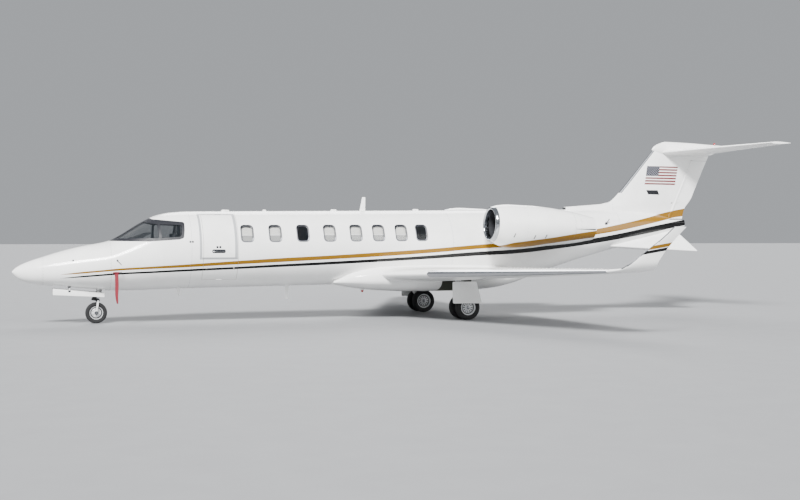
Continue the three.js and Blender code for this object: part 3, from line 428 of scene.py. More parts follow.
def ranged(tree, value, low, high, to_low=0.0, to_high=1.0, clamp=True):
    """A value mapped from one range to another."""
    return add(tree, "ShaderNodeMapRange", {
        "Value": value, "From Min": low, "From Max": high, "To Min": to_low, "To Max": to_high,
    }, clamp=clamp).outputs["Result"]


def feed(tree, shader, **sockets):
    """Links node outputs to inputs of the shader."""
    for key, socket in sockets.items():
        tree.links.new(socket, shader.inputs[key.replace("_", " ")])


def raise_by(tree, shader, height, depth, strength=1.0):
    """Gives the shader's surface a relief of a real depth in metres."""
    bump = add(tree, "ShaderNodeBump", {"Height": height, "Distance": depth, "Strength": strength})
    feed(tree, shader, Normal=bump.outputs["Normal"])


def linear(hex_colour):
    """An sRGB hex colour as linear red, green, blue and alpha."""
    parts = [int(hex_colour[i:i + 2], 16) / 255 for i in (1, 3, 5)]
    return (*[p / 12.92 if p <= 0.04045 else ((p + 0.055) / 1.055) ** 2.4 for p in parts], 1.0)


def material(name, roughness, metallic=0.0, colour=None, **sockets):
    """A new material with its shader; its patterns are linked in afterwards."""
    made = bpy.data.materials.new(name)
    made.use_nodes = True
    tree = made.node_tree
    tree.nodes.clear()
    shader = add(tree, "ShaderNodeBsdfPrincipled")
    shader.inputs["Roughness"].default_value = roughness
    shader.inputs["Metallic"].default_value = metallic
    if colour:
        shader.inputs["Base Color"].default_value = linear(colour)
    for key, value in sockets.items():
        shader.inputs[key.replace("_", " ")].default_value = value
    add(tree, "ShaderNodeOutputMaterial", {"Surface": shader.outputs["BSDF"]})
    where = add(tree, "ShaderNodeTexCoord").outputs["Object"]
    return made, tree, shader, where


def grain(tree, shader, where, size, depth, dark, light, rough=None, stretch=None):
    """Mottles colour, roughness and height with one noise whose grain has a real size in metres."""
    if stretch:
        where = add(tree, "ShaderNodeMapping", {"Vector": where, "Scale": stretch}).outputs[0]
    noise = add(tree, "ShaderNodeTexNoise", {
        "Vector": where, "Scale": 1 / size, "Detail": 3.0, "Roughness": 0.6}).outputs["Fac"]
    feed(tree, shader, Base_Color=colour_mix(tree, noise, linear(dark), linear(light)))
    if rough:
        feed(tree, shader, Roughness=ranged(tree, noise, 0.3, 0.7, *rough))
    if depth:
        raise_by(tree, shader, noise, depth)


def colour_mix(tree, factor, a, b):
    """Mixes two colours by a factor and returns the result."""
    mix = add(tree, "ShaderNodeMix", data_type="RGBA")
    for socket, value in (("Factor_Float", factor), ("A_Color", a), ("B_Color", b)):
        target = next(s for s in mix.inputs if s.identifier == socket)
        if isinstance(value, bpy.types.NodeSocket):
            tree.links.new(value, target)
        else:
            target.default_value = value
    return next(s for s in mix.outputs if s.identifier == "Result_Color")


# Paint scheme: station, and the low and high edges of the gold and of the black stripe
STRIPES = [
    (0.94, 1.064, 1.064, 0.986, 0.986), (1.335, 1.082, 1.116, 1.003, 1.034),
    (1.73, 1.115, 1.153, 1.030, 1.068), (2.13, 1.146, 1.191, 1.060, 1.100),
    (2.74, 1.175, 1.226, 1.085, 1.127), (3.43, 1.202, 1.265, 1.113, 1.161),
    (4.43, 1.253, 1.328, 1.152, 1.203), (5.52, 1.304, 1.392, 1.196, 1.256),
    (6.65, 1.358, 1.446, 1.241, 1.307), (7.8, 1.416, 1.510, 1.294, 1.364),
    (9.02, 1.491, 1.586, 1.355, 1.435), (10.19, 1.580, 1.677, 1.422, 1.516),
    (11.17, 1.640, 1.753, 1.468, 1.568), (12.15, 1.744, 1.874, 1.560, 1.668),
    (13.43, 1.915, 2.050, 1.707, 1.836), (14.2, 2.026, 2.179, 1.813, 1.952),
    (15.2, 2.208, 2.371, 1.972, 2.132), (16.05, 2.367, 2.549, 2.125, 2.272),
    (16.3, 2.400, 2.590, 2.165, 2.310), (16.7, 2.460, 2.670, 2.230, 2.380),
]
# The same for the one stripe on the cowlings and the two on the winglets: station, low edge, high edge
NACELLE_STRIPE = [
    (10.3, 1.585, 1.590), (10.61, 1.600, 1.700), (11.03, 1.622, 1.765), (11.62, 1.700, 1.837),
    (12.25, 1.782, 1.929), (12.99, 1.860, 2.020),
]
WINGLET_GOLD = [(10.0, 1.466, 1.532), (12.0, 1.788, 1.854)]
WINGLET_BLACK = [(10.0, 1.396, 1.454), (12.0, 1.718, 1.776)]
GOLD, BLACK, WHITE, BARE_METAL = "#7E590A", "#010102", "#FAFAF8", "#C9CBCE"
FLAG = {"foot": 15.11, "lean": 0.19, "length": 0.905, "low": 3.19, "height": 0.47, "canton": 0.4}
HEIGHTS = (0.8, 3.0)


def apart(tree, where):
    """The station, the distance from the centre plane and the height at a shaded point."""
    xyz = add(tree, "ShaderNodeSeparateXYZ", {"Vector": where}).outputs
    return calc(tree, "ADD", xyz["X"], -NOSE_X), xyz["Y"], xyz["Z"]


def over_station(tree, station, points):
    """A height in metres that changes with the station as drawn through points."""
    first, last = points[0][0], points[-1][0]
    drawn = add(tree, "ShaderNodeFloatCurve", {"Value": ranged(tree, station, first, last)})
    line = drawn.mapping.curves[0]
    low, high = HEIGHTS
    places = [((x - first) / (last - first), (z - low) / (high - low)) for x, z in points]
    for i, place in enumerate(places):
        if i in (0, len(places) - 1):
            line.points[0 if i == 0 else len(line.points) - 1].location = place
        else:
            line.points.new(*place)
    drawn.mapping.update()
    return ranged(tree, drawn.outputs["Value"], 0, 1, low, high)


def stripe(tree, station, height, rows, low, high):
    """1 between two edges of a table over the station, else 0."""
    middle = over_station(tree, station, [(r[0], (r[low] + r[high]) / 2) for r in rows])
    half = over_station(tree, station, [(r[0], HEIGHTS[0] + (r[high] - r[low]) / 2) for r in rows])
    return calc(tree, "COMPARE", height, middle, calc(tree, "SUBTRACT", half, HEIGHTS[0]))


def within(tree, value, low, high):
    """1 where a value lies between two numbers, else 0."""
    return calc(tree, "COMPARE", value, (low + high) / 2, (high - low) / 2)


def both(tree, *masks):
    """1 where every mask is 1, else 0."""
    result = masks[0]
    for mask in masks[1:]:
        result = calc(tree, "MULTIPLY", result, mask)
    return result


def flag(tree, station, height, colour):
    """Thirteen red and white stripes with a blue corner that holds rows of small white dots."""
    foot = FLAG["low"] * FLAG["lean"] - FLAG["foot"]
    lean = calc(tree, "MULTIPLY_ADD", height, -FLAG["lean"], foot)
    u = calc(tree, "DIVIDE", calc(tree, "ADD", station, lean), FLAG["length"])
    v = ranged(tree, height, FLAG["low"], FLAG["low"] + FLAG["height"], clamp=False)
    cloth = both(tree, within(tree, u, 0, 1), within(tree, v, 0, 1))
    red = within(tree, calc(tree, "FRACT", calc(tree, "MULTIPLY", v, 13 / 2)), 0, 0.55)
    canton = both(tree, within(tree, u, 0, FLAG["canton"]), within(tree, v, 6 / 13, 1))
    grid = add(tree, "ShaderNodeCombineXYZ", {"X": u, "Y": v}).outputs[0]
    turned_grid = add(tree, "ShaderNodeMapping", {
        "Vector": grid, "Rotation": (0, 0, math.pi / 4), "Scale": (1, 0.62, 1)}).outputs[0]
    star = add(tree, "ShaderNodeTexVoronoi", {
        "Vector": turned_grid, "Scale": 19.0, "Randomness": 0.0}, voronoi_dimensions="2D")
    dot = within(tree, star.outputs["Distance"], 0, 0.2)
    fabric = colour_mix(tree, red, linear("#E9E7E4"), linear("#640912"))
    blue = colour_mix(tree, dot, linear("#090C22"), linear("#B9BAC2"))
    fabric = colour_mix(tree, canton, fabric, blue)
    return colour_mix(tree, cloth, colour, fabric)


def paint(name, marks=(), flagged=False, bare=None):
    """Polyurethane top coat on metal: a hard clear gloss with a faint orange peel and road film."""
    made, tree, shader, where = material(
        name, 0.16, 0.0, Coat_Weight=0.12, Coat_Roughness=0.04, Specular_IOR_Level=0.3)
    station, across, height = apart(tree, where)
    film = add(tree, "ShaderNodeTexNoise", {
        "Vector": where, "Scale": 2.2, "Detail": 5.0, "Roughness": 0.65}).outputs["Fac"]
    film = ranged(tree, film, 0.35, 0.75)
    colour = colour_mix(tree, film, linear(WHITE), linear("#F0F0EE"))
    for test, tint in marks:
        mask = test(tree, station, across, height)
        colour = colour_mix(tree, mask, colour, linear(tint))
    if flagged:
        colour = flag(tree, station, height, colour)
    rough = ranged(tree, film, 0, 1, 0.13, 0.22)
    if bare:
        mask = bare(tree, station, across, height)
        colour = colour_mix(tree, mask, colour, linear(BARE_METAL))
        rough = ranged(tree, mask, 0, 1, 0.16, 0.14)
        feed(tree, shader, Metallic=mask)
    feed(tree, shader, Base_Color=colour, Roughness=rough)
    peel = add(tree, "ShaderNodeTexNoise", {"Vector": where, "Scale": 260.0, "Detail": 1.0})
    raise_by(tree, shader, peel.outputs["Fac"], 0.00006)
    return made


def gold_mark(t, x, y, z):
    return stripe(t, x, z, STRIPES, 1, 2)


def black_mark(t, x, y, z):
    return stripe(t, x, z, STRIPES, 3, 4)


SEAM_HALF = 0.0025


def seam_at(*stations):
    """Panel seams across the body: sealant lines 5 mm wide, wider than real so that they show."""
    def test(t, x, y, z):
        found = None
        for at in stations:
            line = within(t, x, at - SEAM_HALF, at + SEAM_HALF)
            found = line if found is None else calc(t, "MAXIMUM", found, line)
        return found
    return test


DOOR_FRAME = {"outer": (3.788, 4.602, 1.370, 2.364), "inner": (3.836, 4.542, 1.416, 2.330)}


def door_frame_mark(t, x, y, z):
    """The grey scuff frame round the upper cabin door, on the port side only."""
    inside = []
    for key in ("outer", "inner"):
        x0, x1, z0, z1 = DOOR_FRAME[key]
        inside.append(both(t, within(t, x, x0, x1), within(t, z, z0, z1)))
    return both(t, calc(t, "SUBTRACT", *inside), within(t, y, -2, 0))


def leading_edge(t, x, y, z):
    """The outer wing's polished leading edge: a strip behind the swept edge."""
    reach = calc(t, "ABSOLUTE", y)
    edge = ranged(t, reach, WING_ROOT[0], WING_TIP[0], WING_ROOT[2], WING_TIP[2])
    behind = calc(t, "SUBTRACT", x, edge)
    return both(t, within(t, behind, -0.1, BARE_DEPTH), within(t, reach, BARE_FROM, 7.0))


# Wing sections: y, height, leading edge, trailing edge, thickness ratio
WING_ROOT = (0.7, 1.0, 7.735, 10.78, 0.12)
WING_TIP = (6.7, 1.215, 10.26, 11.1, 0.1)
BARE_FROM, BARE_DEPTH = 2.3, 0.09

# Polyurethane coats: hard white gloss, faintly filmed, with the gold and black stripes laid over it
livery = paint("polyurethane_livery", [
    (seam_at(NOSE_END, COCKPIT_END, CABIN_END, AFT_END), "#B9BABB"), (door_frame_mark, "#A9ABAD"),
    (gold_mark, GOLD), (black_mark, BLACK)], flagged=True)
white = paint("polyurethane_white")
wing_paint = paint("polyurethane_wing", bare=leading_edge)
winglet_paint = paint("polyurethane_winglet", [
    (lambda t, x, y, z: stripe(t, x, z, WINGLET_GOLD, 1, 2), GOLD),
    (lambda t, x, y, z: stripe(t, x, z, WINGLET_BLACK, 1, 2), BLACK)])
cowl_paint = paint("polyurethane_cowling", [
    (seam_at(12.27), "#B0B1B2"),
    (lambda t, x, y, z: stripe(t, x, z, NACELLE_STRIPE, 1, 2), GOLD)])


def plain(name, roughness, metallic, dark, light, size, depth, rough=None, stretch=None):
    """A finish whose colour, gloss and height vary with one grain of real size."""
    made, tree, shader, where = material(name, roughness, metallic)
    grain(tree, shader, where, size, depth, dark, light, rough, stretch)
    return made


# Polished aluminium skin: a soft mirror with faint buffing haze
polished = plain("polished_aluminium", 0.12, 1.0, "#9DA0A5", "#B9BCC0", 0.02, 0.00002, (0.08, 0.2))
# Forged titanium blades: dark bead-blasted metal
titanium = plain("blasted_titanium", 0.4, 1.0, "#4A4B4E", "#626468", 0.006, 0.00005, (0.3, 0.5))
# Heat-stained nickel alloy: brownish, duller where it runs hot
nickel = plain("heat_stained_nickel_alloy", 0.4, 1.0, "#6B6259", "#8F8A84", 0.05, 0.0001, (0.3, 0.5))
# Hard chrome on the shock struts: a clean mirror
chrome = plain("hard_chrome", 0.06, 1.0, "#D5D6D8", "#E6E7E8", 0.01, 0.0, (0.04, 0.1))
# Machined steel: grey with a fine turned grain
steel = plain("machined_steel", 0.3, 1.0, "#7E8083", "#9A9C9F", 0.004, 0.00002, (0.22, 0.4))
# Silver enamel on the forged wheels: pale, faintly grained, a little brake dust
wheel_metal = plain("silver_wheel_enamel", 0.34, 0.25, "#C9CBCD", "#DFE0E1", 0.01, 0.00004, (0.26, 0.44))
# Enamel on the gear legs: white, a little soiled
gear_enamel = plain("gear_enamel", 0.3, 0.0, "#C9CAC9", "#E4E4E2", 0.09, 0.00005, (0.25, 0.45))
# Structural primer inside the wells: flat, dark green grey
primer = plain("structural_primer", 0.7, 0.0, "#4C4E44", "#5D5F54", 0.05, 0.0001, (0.6, 0.8))
# Tyre rubber: black with a dusty bloom
rubber = plain("tyre_rubber", 0.8, 0.0, "#0C0C0D", "#19191B", 0.03, 0.0003, (0.7, 0.9))
# Door and glazing seals: smooth black synthetic rubber
seal = plain("seal_rubber", 0.6, 0.0, "#1B1C1E", "#2A2B2E", 0.02, 0.00005, (0.5, 0.7))
# Anodised window surrounds and fittings: dark blue-black metal with a satin sheen; on the upper part of the
# window rings this dark is painted shade
surround = plain("dark_anodised_aluminium_and_ring_shade", 0.45, 0.2, "#0E1017", "#161922", 0.03, 0.00003, (0.38, 0.5))
# Cockpit frame: flat blue-black enamel that doesn't dazzle the crew
anti_glare = plain("anti_glare_enamel", 0.5, 0.0, "#0E0F16", "#16171F", 0.05, 0.0001, (0.45, 0.6))
# Window rings, lower part: silver grey as painted light, where the rings catch the light
ring_painted_light = plain("window_ring_painted_light", 0.4, 0.2, "#5C5E63", "#6C6E73", 0.02, 0.00002, (0.35, 0.46))
# Intake lining: perforated composite, in truth mid grey, here darkened to near black as painted shade inside
# the intake
duct = plain("duct_lining_painted_shade", 0.55, 0.2, "#202124", "#303135", 0.004, 0.0002, (0.5, 0.65))
# Carbon brake stack: matt black; the same black is also painted shade on the inboard part of each wheel
carbon_and_painted_shade = plain("carbon_brake_and_painted_wheel_shade", 0.7, 0.1, "#161616", "#242424", 0.01, 0.0002, (0.6, 0.8))
# Cabin lining: warm white laminated panel
lining = plain("laminated_lining", 0.6, 0.0, "#CFC8BA", "#DAD4C8", 0.03, 0.0001, (0.5, 0.7))
# Instrument panel: dark grey crackle finish
panel_grey = plain("crackle_finish", 0.75, 0.0, "#17181B", "#232529", 0.004, 0.0004, (0.7, 0.85))
# Display glass: black, glossy
display = plain("display_glass", 0.08, 0.0, "#05070A", "#0A0E14", 0.05, 0.0, (0.05, 0.1))
# Wood veneer on the cabin ledge: long figured grain under lacquer
veneer = plain("lacquered_veneer", 0.2, 0.0, "#4A2A17", "#7A4B2A", 0.03, 0.00003, (0.12, 0.24), (1, 12, 12))
# Red nylon cover: woven, matt, sun-faded
nylon = plain("red_nylon", 0.8, 0.0, "#651320", "#852331", 0.006, 0.0004, (0.75, 0.9))


def glazing(name, tint, alpha):
    """Stretched acrylic or laminated glass: see-through, with a hard mirror gloss."""
    made, tree, shader, where = material(
        name, 0.03, 0.0, tint, Alpha=alpha, Coat_Weight=1.0, Coat_Roughness=0.02)
    ripple = add(tree, "ShaderNodeTexNoise", {"Vector": where, "Scale": 6.0, "Detail": 1.0})
    raise_by(tree, shader, ripple.outputs["Fac"], 0.0002)
    return made


# Cockpit glass: laminated, tinted, dark against the white shell
windscreen_glass = glazing("laminated_windscreen", "#20262B", 0.25)
# Cabin panes: thin stretched acrylic, nearly clear
window_acrylic = glazing("stretched_acrylic", "#2A3038", 0.1)
# Lamp lenses: glossy red and clear
red_lens = glazing("red_lens", "#B01018", 0.85)
clear_lens = glazing("clear_lens", "#DDE3E8", 0.35)


def leather_finish(name, dark, light):
    """Aircraft hide: fine pebbled grain with soft sheen; the pebbles are drawn at 3 mm to show."""
    made, tree, shader, where = material(name, 0.45, 0.0, Sheen_Weight=0.1, Specular_IOR_Level=0.4)
    pebble = add(tree, "ShaderNodeTexVoronoi", {"Vector": where, "Scale": 1 / 0.003})
    grain(tree, shader, where, 0.12, 0.0, dark, light, (0.38, 0.55))
    raise_by(tree, shader, pebble.outputs["Distance"], 0.0006, 0.6)
    return made


# Hide on the cabin's seats, warm and pale, and on the pilots' seats, near black
hide = leather_finish("aircraft_hide", "#B9A98A", "#CBBC9E")
dark_hide = leather_finish("dark_aircraft_hide", "#25262A", "#34353A")


def woven(name, dark, light, pitch):
    """Woven or tufted textile: two crossed waves at the thread's spacing, matt."""
    made, tree, shader, where = material(name, 0.92, 0.0, Sheen_Weight=0.3)
    heights = []
    for direction in ("X", "Y"):
        wave = add(tree, "ShaderNodeTexWave", {
            "Vector": where, "Scale": 1 / pitch / 6.28, "Distortion": 1.0,
        }, wave_type="BANDS", bands_direction=direction)
        heights.append(wave.outputs["Fac"])
    weave = calc(tree, "MULTIPLY", *heights)
    feed(tree, shader, Base_Color=colour_mix(tree, weave, linear(dark), linear(light)))
    raise_by(tree, shader, weave, pitch / 4)
    return made


# Carpet: short cut pile, brown grey, matt
carpet = woven("cut_pile_carpet", "#5C5348", "#8A7F70", 0.006)
# Pleated window shades: ribbed pale laminate, matt, a little yellowed; the lower leaf is greyer
shade_panel = plain("ribbed_shade_laminate", 0.7, 0.0, "#DCDCD8", "#E8E7E0", 0.05, 0.0001, (0.6, 0.8))
shade_low = plain("ribbed_shade_laminate_low", 0.7, 0.0, "#A9AAA9", "#B8B8B4", 0.05, 0.0001, (0.6, 0.8))


# Geometry node trees


def tree_of(name, **inputs):
    """A geometry tree with a mesh input, named inputs and a mesh output."""
    tree = bpy.data.node_groups.new(name, "GeometryNodeTree")
    tree.interface.new_socket("Geometry", in_out="INPUT", socket_type="NodeSocketGeometry")
    for key, kind in inputs.items():
        tree.interface.new_socket(key, in_out="INPUT", socket_type="NodeSocket" + kind)
    tree.interface.new_socket("Geometry", in_out="OUTPUT", socket_type="NodeSocketGeometry")
    return tree, add(tree, "NodeGroupInput").outputs


def finish_tree(tree, geometry, finish):
    """Ends a geometry tree: real copies in one finish."""
    real = add(tree, "GeometryNodeRealizeInstances", {"Geometry": geometry}).outputs[0]
    dressed = add(tree, "GeometryNodeSetMaterial", {"Geometry": real, "Material": finish})
    add(tree, "NodeGroupOutput", {"Geometry": dressed.outputs[0]})
    return tree


def radial_tree():
    """Copies of the mesh turned evenly about an axis through the origin."""
    tree, given = tree_of("around_an_axis", Count="Int", Axis="Vector", Finish="Material")
    points = add(tree, "GeometryNodePoints", {"Count": given["Count"]}).outputs[0]
    index = add(tree, "GeometryNodeInputIndex").outputs[0]
    angle = calc(tree, "MULTIPLY", calc(tree, "DIVIDE", index, given["Count"]), 2 * math.pi)
    turn = add(tree, "ShaderNodeVectorMath", {0: given["Axis"], "Scale": angle}, operation="SCALE")
    copies = add(tree, "GeometryNodeInstanceOnPoints", {
        "Points": points, "Instance": given["Geometry"], "Rotation": turn.outputs[0]}).outputs[0]
    return finish_tree(tree, copies, given["Finish"])


def row_tree():
    """Copies of the mesh in a straight row."""
    tree, given = tree_of("in_a_row", Count="Int", Step="Vector", Finish="Material")
    line = add(tree, "GeometryNodeMeshLine", {"Count": given["Count"], "Offset": given["Step"]})
    copies = add(tree, "GeometryNodeInstanceOnPoints", {
        "Points": line.outputs[0], "Instance": given["Geometry"]}).outputs[0]
    return finish_tree(tree, copies, given["Finish"])


def stud_tree():
    """A flat fastener head on every point, turned to the direction stored with the point."""
    tree, given = tree_of("fasteners", Radius="Float", Height="Float", Finish="Material")
    outward = add(tree, "GeometryNodeInputNamedAttribute", {"Name": "outward"}, data_type="FLOAT_VECTOR")
    turn = add(tree, "FunctionNodeAlignRotationToVector", {"Vector": outward.outputs[0]}, axis="Z")
    head = add(tree, "GeometryNodeMeshCylinder", {
        "Vertices": 8, "Radius": given["Radius"], "Depth": given["Height"]}).outputs[0]
    points = add(tree, "GeometryNodeMeshToPoints", {"Mesh": given["Geometry"]}).outputs[0]
    copies = add(tree, "GeometryNodeInstanceOnPoints", {
        "Points": points, "Instance": head, "Rotation": turn.outputs[0]}).outputs[0]
    return finish_tree(tree, copies, given["Finish"])


RADIAL, ROW, STUDS = radial_tree(), row_tree(), stud_tree()


def grow(obj, tree, **values):
    """Runs a geometry tree on a mesh with the given inputs and keeps the result."""
    step = obj.modifiers.new("grow", "NODES")
    step.node_group = tree
    for item in tree.interface.items_tree:
        if item.in_out == "INPUT" and item.name in values:
            step[item.identifier] = values[item.name]
    return bake(obj)


def around(obj, count, centre, axis, finish):
    """Repeats a mesh about an axis through a centre given as station, y and z."""
    shift = Matrix.Translation((centre[0] + NOSE_X, centre[1], centre[2]))
    obj.data.transform(shift.inverted())
    grow(obj, RADIAL, Count=count, Axis=axis, Finish=finish)
    obj.data.transform(shift)
    return obj


def in_row(obj, count, step, finish):
    return grow(obj, ROW, Count=count, Step=step, Finish=finish)


def studs(name, places, radius, finish):
    """Fastener heads at places with outward directions."""
    obj = raw(name, [place for place, _ in places])
    outward = obj.data.attributes.new("outward", "FLOAT_VECTOR", "POINT")
    outward.data.foreach_set("vector", [c for _, n in places for c in n])
    return grow(obj, STUDS, Radius=radius, Height=0.0016, Finish=finish)


# Shared section forms


def half_thickness(f, ratio):
    """Half thickness of a symmetrical section at a share of the chord."""
    return 5 * ratio * (
        0.2969 * math.sqrt(f) - 0.126 * f - 0.3516 * f ** 2 + 0.2843 * f ** 3 - 0.0985 * f ** 4)


CHORD_STEPS = [0.5 * (1 - math.cos(math.pi * i / 26)) for i in range(27)]
TRAILING_HALF = 0.0015


def section(row, sign, lean=0.0):
    """A wing section ring from (y, z, lead, trail, ratio); lean tips its thickness sideways."""
    y, z, lead, trail, ratio = row
    chord, tilt = trail - lead, math.radians(lean)

    def at(f, face):
        t = face * (half_thickness(f, ratio) * chord + TRAILING_HALF * f)
        return (lead + f * chord, sign * (y - math.sin(tilt) * t), z + math.cos(tilt) * t)

    return [at(f, 1) for f in CHORD_STEPS] + [at(f, -1) for f in CHORD_STEPS[:0:-1]]


def between(root, tip, y):
    """The wing section row at a distance from the centre plane."""
    t = (y - root[0]) / (tip[0] - root[0])
    return tuple(a + (b - a) * t for a, b in zip(root, tip))


def biggest(obj):
    """Keeps the largest connected part of a mesh, without the slivers that a cut left loose."""
    work = bmesh.new()
    work.from_mesh(obj.data)
    left, parts = set(work.verts), []
    while left:
        front = [left.pop()]
        found = set(front)
        while front:
            for edge in front.pop().link_edges:
                for vert in edge.verts:
                    if vert in left:
                        left.discard(vert)
                        found.add(vert)
                        front.append(vert)
        parts.append(found)
    parts.sort(key=len)
    bmesh.ops.delete(work, geom=[v for part in parts[:-1] for v in part], context="VERTS")
    work.to_mesh(obj.data)
    work.free()
    return obj


FLAP = {"span": (1.12, 4.25), "hinge": 0.74, "square": True}
AILERON = {"span": (4.31, 6.3), "hinge": 0.74, "square": True}
ELEVATOR = {"span": (0.13, 2.48), "hinge": 0.66, "square": False}
SURFACE_GAP = 0.008
NOSE_SHARE = 0.97


def hinged(whole, name, root, tip, plan, sign):
    """Splits a hinged surface with a round nose off the back of a wing and returns it."""
    ends = []
    for span in plan["span"]:
        y, z, lead, trail, ratio = between(root, tip, span)
        chord = trail - lead
        place = Vector((lead + plan["hinge"] * chord, sign * y, z))
        ends.append((place, trail, half_thickness(plan["hinge"], ratio) * chord))
    (start, _, start_half), (end, _, end_half) = ends
    line = end - start
    skew = line.x / line.y if plan["square"] else 0.0
    lift = line.z / (line.x ** 2 + line.y ** 2) if plan["square"] else 0.0

    def region(grow_by):
        def corner(place, trail, z, by, aft):
            slide = -lift * (z - place.z)
            reach = trail + 0.3 - place.x if aft else 0.0
            return (place.x + slide * line.x + reach, place.y + slide * line.y + by - skew * reach, z)
        by = sign * grow_by
        rings = []
        for z in (min(start.z, end.z) - 0.4, max(start.z, end.z) + 0.4):
            rings.append([
                corner(start, ends[0][1], z, -by, False), corner(start, ends[0][1], z, -by, True),
                corner(end, ends[1][1], z, by, True), corner(end, ends[1][1], z, by, False)])
        return skin("region", rings)

    def rod(longer, r0, r1):
        past = line.normalized() * longer
        return bar("rod", start - past, end + past, r0, r1, sides=48, bevel=0.0005)

    surface = common(copy_of(whole, name), region(0))
    fuse(surface, rod(0, start_half * NOSE_SHARE, end_half * NOSE_SHARE), rod(0.0117, 0.01, 0.01))
    carve(whole, region(SURFACE_GAP), rod(0.012, start_half + SURFACE_GAP, end_half + SURFACE_GAP))
    biggest(whole)
    return surface


# Fuselage

BAY = {"front": 0.82, "aft": 1.9, "half": 0.17, "roof": 1.15}
WELL = {"front": 9.27, "aft": 9.99, "inner": 0.23, "outer": 1.64, "roof": 1.07}
RADOME_SEAM = 0.0015


def deep(by):
    """Picks fuselage faces that lie deeper than a depth under the skin."""
    def test(x, y, z, n):
        tall = crown(x) - mid_height(x) if z > mid_height(x) else mid_height(x) - keel(x)
        level = math.hypot(y / half_width(x), (z - mid_height(x)) / tall)
        return level < 1 - by / half_width(x)
    return test


def in_bay(x, y, z, n):
    """Picks the walls and roof of the nose gear's bay."""
    return deep(0.004)(x, y, z, n) and RADOME_END + 0.01 < x < NOSE_END - 0.01


def hollow(name, start, end):
    """A stretch of fuselage wall."""
    return carve(body_solid(name, start, end), body_solid("inner", start - 0.05, end + 0.05, WALL))


def band(name, start, end, near, far):
    """A thin layer of the fuselage wall between two depths."""
    return carve(body_solid(name, start, end, near), body_solid("inner", start - 0.02, end + 0.02, far))


radome = body_solid("radome", 0.0, RADOME_END - RADOME_SEAM)
hull_piece(radome, white, "nose_radome")

nose = body_solid("nose_skin", RADOME_END, NOSE_END)
bay = rectangle(BAY["front"], BAY["aft"], 0.4, BAY["roof"])
carve(nose, slab("bay", bay, "y", -BAY["half"], BAY["half"]))
hull_piece(nose, livery, "nose_section")
paint_where(nose, primer, in_bay)

# Cockpit: mask outline in the side view, the two panes of each side, and the posts between them
MASK = [
    (1.95, 1.768), (2.742, 1.755), (3.372, 1.798), (3.462, 1.83), (3.488, 2.0), (3.497, 2.174),
    (2.83, 2.240), (2.78, 2.4), (1.95, 2.4),
]
WINDSHIELD = [
    (2.12, 1.822), (2.945, 1.83), (2.94, 2.122), (2.79, 2.146), (2.66, 2.18), (2.12, 2.18),
]
SIDE_PANE = [(3.0, 1.835), (3.38, 1.856), (3.42, 1.9), (3.432, 2.108), (2.985, 2.122)]
POST_HALF = 0.12
PANES = ((WINDSHIELD, POST_HALF), (SIDE_PANE, 0.3))

cockpit = hollow("cockpit_skin", NOSE_END, COCKPIT_END)
mask_tools = [side_slab("mask", rounded(MASK, 0.05), sign, -0.001, 1.2) for _, sign in SIDES]
cockpit = carve(cockpit, *mask_tools)
drain_mast = slab("mast", [(3.395, 0.78), (3.485, 0.78), (3.48, 0.575), (3.44, 0.575)], "y", -0.008, 0.008)
fuse(cockpit, soften(drain_mast, 0.006, 3))
hull_piece(cockpit, livery, "cockpit_shell")
paint_where(cockpit, lining, deep(0.012))

frame_band = band("cockpit_frame", NOSE_END + 0.001, COCKPIT_END - 0.001, 0.003, 0.05)
for name, sign in SIDES:
    part = copy_of(frame_band, "frame_half")
    common(part, side_slab("mask", rounded(MASK, 0.048), sign, -0.0005, 1.2))
    for outline, near in PANES:
        carve(part, side_slab("pane", rounded(outline, 0.03), sign, near, 1.2))
    piece(shade(part, field=body_field), anti_glare, "black_plastic", "cockpit_shell")
    part.name = "cockpit_frame_" + name
discard(frame_band)

glass_band = band("glass", NOSE_END + 0.001, COCKPIT_END - 0.001, 0.009, 0.017)
for name, sign in SIDES:
    panes = []
    for outline, near in PANES:
        pane = copy_of(glass_band, "pane")
        common(pane, side_slab("outline", rounded(outline, 0.03), sign, near, 1.2))
        panes.append(shade(pane, field=body_field))
    glass = joined("cockpit_panes_" + name, *panes)
    piece(glass, windscreen_glass, "glass", "cockpit_windows_" + name)
discard(glass_band)

# Cabin: doorway, windows and their rings
DOOR = {"front": 3.865, "aft": 4.62, "sill": 0.93, "split": 1.4, "top": 2.345, "clear": 0.006,
        "head_spare": 0.0035}
KNUCKLE = {"radius": 0.009, "length": 0.06, "x": 4.24, "slack": 0.006, "outward": 0.15}
WINDOWS = [4.82, 5.44, 6.06, 6.67, 7.28, 7.81, 8.35, 8.84]
WINDOW = {"z": 1.940, "at": 6.8, "climb": 0.006, "width": 0.292, "height": 0.384, "corner": 0.1}
SHADED = (0, 1, 3, 4, 5, 6)


def window_outline(x, inset=0.0, top=0.0):
    """A cabin window's outline; the row climbs with the fuselage, and top lowers its head."""
    z = WINDOW["z"] + (x - WINDOW["at"]) * WINDOW["climb"]
    half, tall = WINDOW["width"] / 2 - inset, WINDOW["height"] / 2 - inset
    outline = rectangle(x - half, x + half, z - tall, z + tall - top)
    return rounded(outline, WINDOW["corner"] - inset, 8)


def door_edge(i):
    """The wall's point and outward direction at the doorway's sill (0) or head (1), as y and z."""
    x = (DOOR["front"] + DOOR["aft"]) / 2
    z = DOOR["top"] if i else DOOR["sill"]
    tall = crown(x) - mid_height(x) if i else mid_height(x) - keel(x)
    y = -wall_y(x, z)
    return Vector((y, z)), Vector((y / half_width(x) ** 2, (z - mid_height(x)) / tall ** 2)).normalized()


def doorway(inset):
    """The doorway's section as (y, z): its sill and head are cut square to the curved wall."""
    found = []
    for i in (0, 1):
        place, outward = door_edge(i)
        edge = Vector((-outward.y, outward.x)) * (-inset if i else inset)
        found.append((place - edge, outward))
    (sill, out_sill), (head, out_head) = found
    depth = KNUCKLE["outward"]
    low, high = sill + out_sill * 0.4, head + out_head * 0.3
    return [
        tuple(low), tuple(sill - out_sill * depth), tuple(head - out_head * depth), tuple(high),
        (-1.4, high.y), (-1.4, low.y)]


